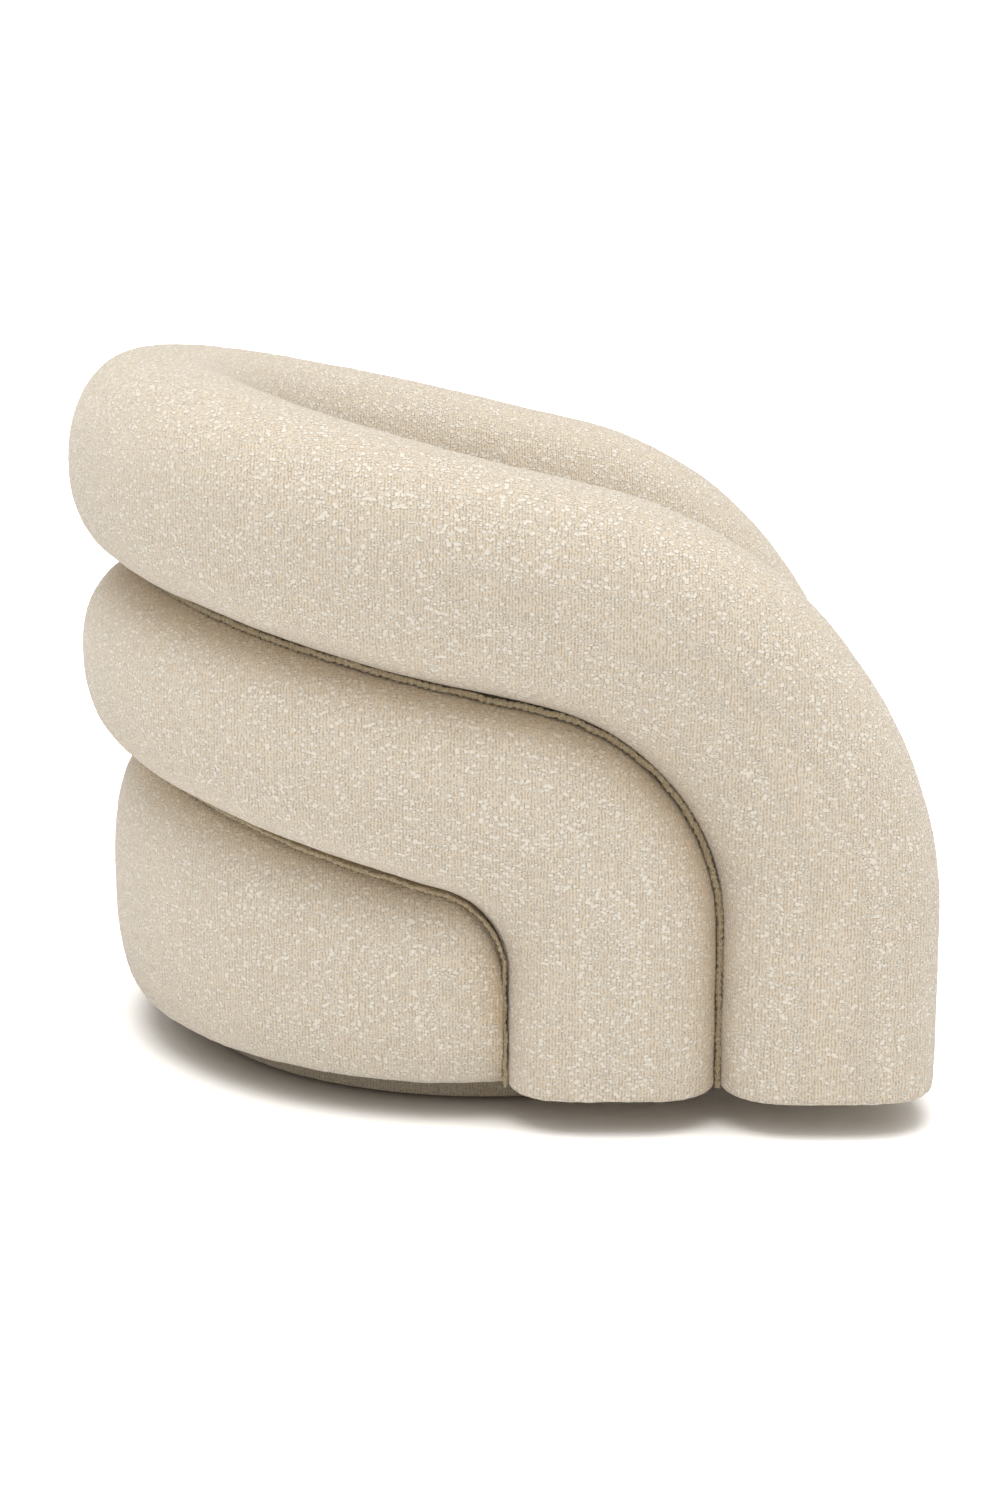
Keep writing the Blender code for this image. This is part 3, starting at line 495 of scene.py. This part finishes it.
def make_stitches(name, centre, out, across, half_width, thread, seed):
    """Uneven dark stitches down both sides of a welt, longer on its inner side."""
    thickness, turns, skipped = 0.0008, 5, 0.25
    along = np.gradient(centre, axis=0)
    along /= np.linalg.norm(along, axis=1)[:, None]
    points, faces = [], []
    random = np.random.default_rng(seed)
    for side, length in ((-1, 0.0019), (1, 0.0009)):
        for i in range(3, len(centre) - 3, 4):
            if centre[i, 2] < SKIRT + 0.006 or random.uniform() < skipped:
                continue
            half = length * random.uniform(0.5, 1.15)
            spot = (centre[i] + side * across[i] * (half_width + 0.0002) + out[i] * half_width * 0.45
                    + along[i] * random.uniform(-0.0012, 0.0012))
            lean = along[i] + across[i] * random.uniform(-0.35, 0.35)
            first = len(points)
            points += [spot - lean * half, spot + lean * half]
            for turn in range(turns):
                a = 2 * math.pi * turn / turns
                points.append(spot + thickness * (across[i] * math.cos(a) + out[i] * math.sin(a)))
                following = first + 2 + (turn + 1) % turns
                faces += [(first, first + 2 + turn, following), (first + 1, following, first + 2 + turn)]
    stitches = make_mesh(name, np.array(points), np.zeros((0, 4), dtype=int), thread, faces)
    finish_piece(stitches, "seat_shell", [])


def make_inner_pad(material):
    """The inside upholstery: it fills the hollow under the top roll, and leans at the back."""
    low, high = node_box("inner_pad")
    front_y, bottom, face = low.y, low.z, high.x
    deep, side_rows, back_rows, rake, bulge = 0.278, 60, 120, 0.034, 0.006  # deep: radius of its hidden back
    side_y = np.linspace(front_y, CENTRE_Y, side_rows, endpoint=False)
    foot_y = np.concatenate([side_y, np.full(back_rows, CENTRE_Y)])
    turn = np.concatenate([np.zeros(side_rows), np.linspace(0, math.pi / 2, back_rows)])
    edge = np.clip((foot_y - front_y) / 0.012, 0, 1)
    edge = np.where(turn > 0, 1, np.sqrt(1 - (1 - edge) ** 2))
    wall_y = foot_y + WALL * np.sin(turn)
    arc = np.radians(np.linspace(258, 200, 16))
    clearance = 0.002
    rings = []
    for y, base_y, angle, grown in zip(wall_y, foot_y, turn, edge):
        lean = rake * math.sin(angle) ** 2
        ring = [(deep, bottom), (deep, bottom + 0.02)]
        for a in arc:
            depth = ROLL_BACK - (ROLL_DEPTH + clearance) * math.cos(a)
            radius = WALL - min(max(depth, WALL - deep), WALL - face)
            height = under_roll(y, -(ROLL_HEIGHT + clearance) * math.sin(a))
            ring.append((radius, max(height, bottom + 0.024)))
        top = ring[-1][1]
        for share in np.linspace(0, 1, 48)[1:]:
            swell = bulge * math.sin(math.pi * min(1, share * 1.05)) * grown
            ring.append((face - lean * share - swell, top + (bottom - top) * share))
        ring = np.array(ring)
        middle = ring.mean(axis=0)
        ring = middle + (ring - middle) * (0.86 + 0.14 * grown)
        outward = np.array([-math.cos(angle), math.sin(angle), 0.0])
        rings.append(np.array([0.0, base_y, 0.0]) + outward * ring[:, :1] + UP * ring[:, 1:])
    half = np.array(rings)
    grid = np.concatenate([half, half[-2::-1] * [-1, 1, 1]])
    normal = grid_normals(grid, grid - grid.mean(axis=1, keepdims=True))
    grid = cover(grid, normal, np.full(grid.shape[:2], 0.02), 51, 0.6)
    pad = grid_mesh("inner_pad_cover", grid, material)
    finish_piece(pad, "seat_shell", ["inner_pad"])


def under_roll(y, drop):
    """Height at y of the arch that runs a distance drop inside the top roll's axis."""
    elbow = UPPER_ELBOW + ROLL_HEIGHT
    line_z = UPPER_Z + ROLL_HEIGHT / math.cos(UPPER_SLOPE)
    centre_y = UPPER_LEG_Y - ROLL_HEIGHT + elbow
    centre_z = line_z + math.tan(UPPER_SLOPE) * centre_y - elbow / math.cos(UPPER_SLOPE)
    reach = elbow - drop
    if y >= centre_y - reach * math.sin(UPPER_SLOPE):
        return line_z - drop / math.cos(UPPER_SLOPE) + math.tan(UPPER_SLOPE) * y
    return centre_z + math.sqrt(max(reach ** 2 - (y - centre_y) ** 2, 0.0))


def seat_outline(half_width, front_y, back_y, step=0.006):
    """A seat's plan as evenly spaced points: straight front and sides, and a rounded back."""
    radius, corner_points, back_points = 0.045, 8, 48
    corner = []
    for a in np.linspace(0, math.pi / 2, corner_points):
        corner.append((half_width - radius + radius * math.cos(a), front_y + radius - radius * math.sin(a)))
    points = corner[::-1]
    for a in np.linspace(0, math.pi, back_points):
        points.append((half_width * math.cos(a), CENTRE_Y + (back_y - CENTRE_Y) * math.sin(a)))
    points += [(-x, y) for x, y in corner]
    points.append(points[0])
    return evenly_spaced(np.array(points), step)


def stuffed(name, outline, levels, seams, limits, furthest, crown, material, seed):
    """A sewn case blown up by a cloth simulation, with its seams held.

    outline is the case's plan, and levels are (inset, height) pairs from its underside to its top. The cloth
    stays inside limits, its lowest and highest corners, and moves by less than furthest. crown raises the
    middle of its top before the simulation.
    """
    size, crown_reach, smoothing = 0.006, 0.15, 3
    outward = outward_of(outline)
    grid = np.array([np.column_stack([outline - outward * inset, np.full(len(outline), z)])
                     for inset, z in levels])
    case = grid_mesh(name, grid, material)
    remesh = case.modifiers.new("even", "REMESH")
    remesh.mode, remesh.voxel_size = "VOXEL", size
    apply_modifiers(case)
    start = vertex_array(case)
    held = case.vertex_groups.new(name="held")
    inward = np.min([np.hypot(*(start[:, :2] - point).T) for point in outline], axis=0)
    beside = inward < size * 1.5
    level = np.min([np.abs(start[:, 2] - z) for z in seams], axis=0) < size * 0.6
    for index in np.nonzero(beside & level)[0]:
        held.add([int(index)], 1.0, "REPLACE")
    bottom, top = start[:, 2].min(), start[:, 2].max()
    rise = crown * np.sin(np.clip(inward / crown_reach, 0, 1) * math.pi / 2)
    start[:, 2] += rise * (start[:, 2] - bottom) / (top - bottom)
    place_vertices(case, start)
    run_cloth(case)
    moved = vertex_array(case) - start
    length = np.linalg.norm(moved, axis=1)[:, None]
    moved *= furthest * np.tanh(length / furthest) / np.maximum(length, 1e-9)
    place_vertices(case, np.clip(start + moved, *limits))
    smooth = case.modifiers.new("soft", "SMOOTH")
    smooth.factor, smooth.iterations = 0.5, smoothing
    case.modifiers.new("finer", "SUBSURF").levels = 1
    apply_modifiers(case)
    place = vertex_array(case)
    normal = np.zeros(len(place) * 3, dtype=np.float32)
    case.data.vertices.foreach_get("normal", normal)
    push = 0.0007 * (nubs(place, YARN_LOOP, seed) - 0.3) + 0.0008 * soft_noise(place, 0.05, seed + 1)
    place_vertices(case, place + normal.reshape(-1, 3) * push[:, None])
    case.data.shade_smooth()
    return case


def outward_of(outline):
    """Unit directions out of a closed outline in plan."""
    along = np.roll(outline, -1, axis=0) - np.roll(outline, 1, axis=0)
    along /= np.linalg.norm(along, axis=1)[:, None]
    out = np.column_stack([along[:, 1], -along[:, 0]])
    middle = outline.mean(axis=0)
    return out * np.sign(np.sum((outline - middle) * out, axis=1).mean())


def place_vertices(obj, place):
    obj.data.vertices.foreach_set("co", place.astype(np.float32).reshape(-1))
    obj.data.update()


def vertex_array(obj):
    flat = np.zeros(len(obj.data.vertices) * 3, dtype=np.float32)
    obj.data.vertices.foreach_get("co", flat)
    return flat.reshape(-1, 3).astype(float)


def apply_modifiers(obj):
    evaluated = obj.evaluated_get(bpy.context.evaluated_depsgraph_get())
    shaped = bpy.data.meshes.new_from_object(evaluated)
    shaped.name = obj.name
    obj.modifiers.clear()
    obj.data = shaped


def run_cloth(obj):
    """Blows the case up under inner pressure, and keeps the result."""
    frames = 20
    cloth = obj.modifiers.new("cloth", "CLOTH")
    settings = cloth.settings
    settings.quality = 6
    settings.mass = 0.3
    settings.tension_stiffness = settings.compression_stiffness = 12
    settings.shear_stiffness = 5
    settings.bending_stiffness = 0.6
    settings.use_pressure = True
    settings.uniform_pressure_force = 4.0
    settings.effector_weights.gravity = 0.0
    settings.vertex_group_mass = "held"
    scene = bpy.context.scene
    for number in range(1, frames + 1):
        scene.frame_set(number)
    apply_modifiers(obj)
    scene.frame_set(1)


def make_piping(name, loop, z, radius, material, seed):
    """A closed loop of cloth-covered cord in a seam of the cushion."""
    sides = 12
    out = np.column_stack([outward_of(loop), np.zeros(len(loop))])
    centre = np.column_stack([loop, np.full(len(loop), z)])
    angle = np.linspace(0, 2 * math.pi, sides, endpoint=False)
    grid = (centre[:, None] + out[:, None] * radius * np.cos(angle)[None, :, None]
            + UP * radius * np.sin(angle)[None, :, None])
    push = 0.0004 * (nubs(grid.reshape(-1, 3), WELT_LOOP, seed) - 0.4)
    grid = grid + (grid - centre[:, None]) / radius * push.reshape(grid.shape[:2])[..., None]
    cord = looped_mesh(name, grid, material)
    finish_piece(cord, "cushion", [])


def bare_zip(cushion):
    """Sinks the case's cloth a little round the zip, so the zip lies on it."""
    low, high = node_box("cushion_zip")
    place = vertex_array(cushion)
    margin, sunk = 0.004, 0.0006
    near = ((np.abs(place[:, 0]) < high.x + margin) & (place[:, 1] > 0)
            & (place[:, 2] > low.z - margin) & (place[:, 2] < high.z + margin))
    place[near, 1] = np.minimum(place[near, 1], low.y + sunk)
    place_vertices(cushion, place)


def make_cushion(material, welt_cloth):
    """The loose seat cushion: a boxed case with a crowned top, and piping round both edges."""
    low, high = node_box("cushion_cover")
    inset, slack, crown_room = 0.003, 0.0005, 0.006
    base, top = low.z + 0.0004, high.z - 0.014
    plan = (high.x - inset, low.y + inset, high.y - inset)
    levels = [(0.040, base), (0.006, base), (0.001, base + 0.006), (0.0, base + 0.03), (0.0, top - 0.03),
              (0.001, top - 0.006), (0.006, top), (0.040, top)]
    seams = (base + 0.004, top - 0.003)
    limits = ((low.x + slack, low.y + slack, base), (high.x - slack, high.y - slack, high.z + crown_room))
    cushion = stuffed("cushion_case", seat_outline(*plan), levels, seams, limits, 0.024, 0.010, material, 71)
    bare_zip(cushion)
    finish_piece(cushion, "cushion", ["cushion_cover", "cushion_core"])
    loop = seat_outline(*plan, step=0.003)
    for name, z in (("cushion_piping_top", top - 0.0025), ("cushion_piping_bottom", base + 0.0045)):
        make_piping(name, loop, z, 0.0032, welt_cloth, 77)


def make_apron(material):
    """The padded front under the cushion: a thin upright pad with soft edges."""
    low, high = node_box("front_apron")
    half, radius, slack, front_room = high.x - 0.002, 0.020, 0.0005, 0.006
    outline = []
    corners = ((half, low.y, -90), (half, high.y, 0), (-half, high.y, 90), (-half, low.y, 180))
    for corner_x, corner_y, start in corners:
        centre_x = corner_x - math.copysign(radius, corner_x)
        centre_y = corner_y + (radius if corner_y == low.y else -radius)
        for a in np.radians(np.linspace(start, start + 90, 7)):
            outline.append((centre_x + radius * math.cos(a), centre_y + radius * math.sin(a)))
    outline = evenly_spaced(np.array(outline + outline[:1]), 0.006)
    levels = [(0.016, low.z), (0.006, low.z), (0.001, low.z + 0.006), (0.0, low.z + 0.02),
              (0.0, high.z - 0.02), (0.002, high.z - 0.008), (0.008, high.z - 0.001), (0.016, high.z - slack)]
    seams = (low.z + 0.003, high.z - 0.003)
    limits = ((-high.x + slack, low.y - front_room, low.z), (high.x - slack, high.y, high.z - slack))
    pad = stuffed("front_apron_cover", outline, levels, seams, limits, 0.008, 0.005, material, 83)
    finish_piece(pad, "seat_shell", ["front_apron"])


def make_plinth_band(material):
    """Cloth wrapped round the base drum, turned in at both edges."""
    low, high = node_box("plinth_band")
    inner, edge_height, edge_depth, rows = high.x - 0.002, 0.0030, 0.0016, 420
    edge = np.radians(np.linspace(-90, 90, 13))
    lower_edge, upper_edge = edge[:6], edge[7:]
    middle = np.linspace(low.z + 0.005, high.z - 0.005, 7)
    heights = np.concatenate([low.z + edge_height * (1 + np.sin(lower_edge)), middle,
                              high.z - edge_height * (1 - np.sin(upper_edge)),
                              [high.z - 0.002, low.z + 0.002]])
    radii = np.concatenate([inner + 0.0008 + edge_depth * np.cos(lower_edge), np.full(7, inner + 0.0024),
                            inner + 0.0008 + edge_depth * np.cos(upper_edge), [inner, inner]])
    turn = np.linspace(0, 2 * math.pi, rows, endpoint=False)
    out = np.column_stack([np.cos(turn), np.sin(turn), np.zeros(rows)])
    grid = out[:, None] * radii[None, :, None] + UP * heights[None, :, None]
    push = 0.0005 * (nubs(grid.reshape(-1, 3), YARN_LOOP, 91) - 0.4).reshape(grid.shape[:2])
    push[:, -2:] = 0
    grid = grid + out[:, None] * push[..., None]
    band = looped_mesh("plinth_band_cloth", grid, material)
    finish_piece(band, "base", ["plinth_band"])


def finish_piece(obj, body, nodes):
    """Puts a piece on the body it rides on, and hides the frame nodes it stands for."""
    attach(obj, body)
    if nodes:
        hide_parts(*nodes)


# ---------------------------------------------------------------- materials


class Shader:
    """A node material under construction."""

    def __init__(self, name):
        self.material = bpy.data.materials.new(name)
        self.material.use_nodes = True
        self.tree = self.material.node_tree
        self.principled = self.tree.nodes["Principled BSDF"]
        self.coordinates = self.add("ShaderNodeTexCoord")
        self.place = self.coordinates.outputs["Object"]

    def add(self, kind, inputs=None, **settings):
        made = self.tree.nodes.new(kind)
        for key, value in settings.items():
            setattr(made, key, value)
        for key, value in (inputs or {}).items():
            if isinstance(value, bpy.types.NodeSocket):
                self.tree.links.new(value, made.inputs[key])
            else:
                made.inputs[key].default_value = value
        return made

    def math(self, operation, first, second=0.0, third=0.0, clamp=False):
        inputs = {0: first, 1: second, 2: third}
        return self.add("ShaderNodeMath", inputs, operation=operation, use_clamp=clamp).outputs[0]

    def span(self, value, low, high, **settings):
        """Stretches the range from low to high to the whole range from 0 to 1."""
        inputs = {"Value": value, "From Min": low, "From Max": high}
        return self.add("ShaderNodeMapRange", inputs, **settings).outputs[0]

    def stretched(self, scale):
        return self.add("ShaderNodeMapping", {"Vector": self.place, "Scale": scale}).outputs[0]

    def noise(self, scale, detail=2.0, rough=0.5, vector=None):
        inputs = {"Vector": vector or self.place, "Scale": scale, "Detail": detail, "Roughness": rough}
        return self.add("ShaderNodeTexNoise", inputs).outputs[0]

    def loops(self, scale, least, most, soft_low, soft_high):
        """Round loops of yarn, one to a cell, with radii from least to most of a cell. Below 0 is none."""
        inputs = {"Vector": self.stretched(scale), "Scale": 1.0}
        cells = self.add("ShaderNodeTexVoronoi", inputs, feature="F1")
        chance = self.add("ShaderNodeSeparateColor", {"Color": cells.outputs["Color"]}).outputs[0]
        radius = self.math("MULTIPLY_ADD", chance, most - least, third=least)
        gap = self.math("SUBTRACT", radius, cells.outputs["Distance"])
        return self.span(gap, soft_low, soft_high, interpolation_type="SMOOTHSTEP")

    def mix(self, share, first, second, blend="MIX"):
        made = self.add("ShaderNodeMix", data_type="RGBA", blend_type=blend)
        for index, value in ((0, share), (6, first), (7, second)):
            if isinstance(value, bpy.types.NodeSocket):
                self.tree.links.new(value, made.inputs[index])
            elif index == 0:
                made.inputs[0].default_value = value
            else:
                made.inputs[index].default_value = (*value, 1.0)
        return made.outputs[2]

    def set(self, **values):
        for key, value in values.items():
            socket = self.principled.inputs[key.replace("_", " ")]
            if isinstance(value, bpy.types.NodeSocket):
                self.tree.links.new(value, socket)
            else:
                socket.default_value = value

    def bump(self, height, distance, strength=1.0):
        made = self.add("ShaderNodeBump", {"Height": height, "Distance": distance, "Strength": strength})
        self.tree.links.new(made.outputs[0], self.principled.inputs["Normal"])


def boucle_material(name, tint=None, loop_size=1.0):
    """Cream boucle: loops of yarn of uneven size over a fine upright knit."""
    s = Shader(name)
    split = s.add("ShaderNodeSeparateXYZ", {"Vector": s.place})
    facing = s.add("ShaderNodeSeparateXYZ", {"Vector": s.coordinates.outputs["Normal"]})
    sideways = s.span(s.math("ABSOLUTE", facing.outputs[0]), 0.45, 0.8)
    wander = s.math("MULTIPLY", s.noise(90.0, 2.0, 0.6), 9.0)
    wales = []
    for axis in (0, 1):
        phase = s.math("ADD", s.math("MULTIPLY", split.outputs[axis], 2 * math.pi / WALE_PITCH), wander)
        wales.append(s.math("MULTIPLY_ADD", s.math("SINE", phase), 0.5, third=0.5))
    knit = s.add("ShaderNodeMix", {0: sideways, 2: wales[0], 3: wales[1]}).outputs[0]
    rows = s.noise(1.0, 2.0, 0.6, s.stretched((300.0, 300.0, 420.0)))
    broken = s.span(rows, 0.36, 0.60, interpolation_type="SMOOTHSTEP")
    dashes = s.math("MULTIPLY", s.math("POWER", knit, 1.6), broken)
    fuzz = s.noise(1100.0, 2.0, 0.6)
    big = s.loops((215.0 / loop_size, 215.0 / loop_size, 290.0 / loop_size), 0.04, 0.68, -0.04, 0.10)
    small = s.loops((380.0 / loop_size, 380.0 / loop_size, 520.0 / loop_size), -0.05, 0.62, -0.06, 0.14)
    loops = s.math("MAXIMUM", big, s.math("MULTIPLY", small, 0.70))
    ground = s.math("MULTIPLY_ADD", dashes, -0.35, third=s.math("MULTIPLY", fuzz, 0.25))
    # painted shade in the grooves between the knit's wales, plus random fine tone from the fuzz
    groove_shade_and_fuzz = s.math("MULTIPLY_ADD", dashes, 0.75, third=s.math("MULTIPLY", fuzz, 0.30), clamp=True)
    colour = s.mix(groove_shade_and_fuzz, CREAM_BASE, CREAM_GROOVE_SHADE)
    # painted light: the loops' raised tops are coloured lighter
    colour = s.mix(s.math("MULTIPLY", loops, 0.90), colour, CREAM_LOOP_HIGHLIGHT)
    colour = s.mix(s.math("MULTIPLY", s.noise(7.0, 2.0, 0.5), 0.12), colour, CREAM_PATCH)
    # painted crease shade: the colour is multiplied darker where the mesh attribute is high
    painted_shade = s.add("ShaderNodeAttribute", attribute_name="painted_shade").outputs["Fac"]
    colour = s.mix(painted_shade, colour, s.mix(1.0, colour, CREASE_SHADE_TINT, "MULTIPLY"))
    if tint:
        colour = s.mix(1.0, colour, tint, "MULTIPLY")
    s.set(Base_Color=colour, Roughness=0.95, Sheen_Weight=0.44, Sheen_Roughness=0.45,
          Specular_IOR_Level=0.12)
    s.principled.inputs["Sheen Tint"].default_value = (1.0, 0.97, 0.92, 1.0)
    s.bump(s.math("ADD", ground, loops), 0.0011)
    return s.material


def panel_material(name, colours, roughness, grain, metallic=0.0, depth=0.0003):
    """A surface between two colours, with noise drawn out along its grain."""
    s = Shader(name)
    speck = s.noise(1.0, 4.0, 0.62, s.stretched(grain))
    patch = s.noise(14.0, 2.0, 0.5)
    share = s.math("MULTIPLY_ADD", speck, 0.75, third=s.math("MULTIPLY", patch, 0.25))
    s.set(Base_Color=s.mix(share, *colours), Roughness=roughness, Metallic=metallic)
    s.bump(speck, depth, 0.6)
    return s.material


def finish_frame():
    """Gives every plain frame node the node material of its slot."""
    made = {slot: panel_material(slot, *values) for slot, values in FINISHES.items()}
    for name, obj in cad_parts.items():
        for slot, wanted in FRAME_SLOTS.items():
            if name.startswith(wanted):
                obj.data.materials.clear()
                obj.data.materials.append(made[slot])


# ---------------------------------------------------------------- stage, light and camera


def add_object(name, data):
    obj = bpy.data.objects.new(name, data)
    bpy.context.scene.collection.objects.link(obj)
    return obj


def make_stage():
    """A white floor with a painted contact shadow: its colour darkens close under the chair."""
    s = Shader("studio_floor")
    seen = s.add("ShaderNodeLightPath").outputs["Is Camera Ray"]
    # painted contact shadow: the floor's colour seen by the camera darkens where ambient occlusion finds the
    # chair close by
    near = s.add("ShaderNodeAmbientOcclusion", {"Distance": CONTACT_REACH}, samples=8).outputs["AO"]
    colour = s.mix(seen, FLOOR_BOUNCE, s.mix(s.math("POWER", near, 1.1), FLOOR_PAINTED_SHADOW, FLOOR_SEEN))
    diffuse = s.add("ShaderNodeBsdfDiffuse", {"Color": colour})
    s.tree.links.new(diffuse.outputs[0], s.tree.nodes["Material Output"].inputs["Surface"])
    mesh = bpy.data.meshes.new("studio_floor")
    corners = [(x * FLOOR_HALF, y * FLOOR_HALF, 0) for x, y in ((-1, -1), (1, -1), (1, 1), (-1, 1))]
    mesh.from_pydata(corners, [], [(0, 1, 2, 3)])
    mesh.materials.append(s.material)
    add_object("studio_floor", mesh)


def make_light():
    """A white studio all round, and one broad soft light from above."""
    world = bpy.data.worlds.new("studio")
    bpy.context.scene.world = world
    world.use_nodes = True
    nodes, links = world.node_tree.nodes, world.node_tree.links
    seen = nodes.new("ShaderNodeLightPath").outputs["Is Camera Ray"]
    strength = nodes.new("ShaderNodeMapRange")
    strength.inputs["To Min"].default_value = WORLD_LIGHT
    strength.inputs["To Max"].default_value = BACKDROP_LIGHT
    links.new(seen, strength.inputs["Value"])
    background = nodes["Background"]
    background.inputs["Color"].default_value = (1.0, 1.0, 1.0, 1.0)
    links.new(strength.outputs[0], background.inputs["Strength"])
    sun = bpy.data.lights.new("softbox", "SUN")
    sun.energy, sun.angle, sun.color = SUN_LIGHT, SUN_ANGLE, (1.0, 0.99, 0.97)
    add_object("softbox", sun).rotation_euler = Vector(SUN_FROM).to_track_quat("Z", "Y").to_euler()
    bpy.context.scene.view_settings.view_transform = "Standard"


def make_camera():
    """A long lens at the chair's right side, a little above it."""
    camera = bpy.data.cameras.new("camera")
    camera.lens, camera.sensor_width = CAMERA_LENS, CAMERA_SENSOR
    away = Vector((-math.cos(CAMERA_ELEVATION), 0.0, math.sin(CAMERA_ELEVATION)))
    obj = add_object("camera", camera)
    obj.location = Vector(CAMERA_TARGET) + away * CAMERA_DISTANCE
    obj.rotation_euler = (-away).to_track_quat("-Z", "Y").to_euler()
    bpy.context.scene.camera = obj


def main():
    make_camera()
    make_light()
    make_stage()
    boucle = boucle_material("cream_boucle")
    welt_cloth = boucle_material("welt_boucle", WELT_TINT, 0.7)
    thread = panel_material("seam_thread", THREAD_COLOURS, 0.9, (700.0, 700.0, 700.0))
    make_top_roll(boucle)
    make_middle_roll(boucle)
    make_lower_roll(boucle)
    make_inner_pad(boucle)
    make_apron(boucle)
    make_plinth_band(boucle_material("plinth_cloth", PLINTH_TINT, 0.6))
    make_welt("upper_welt_cord", upper_crease(), 0.0165, 0.0034, "upper_welt", welt_cloth, thread, 5)
    make_welt("lower_welt_cord", lower_crease(), 0.0175, 0.0024, "lower_welt", welt_cloth, thread, 6)
    make_cushion(boucle, welt_cloth)
    finish_frame()


main()
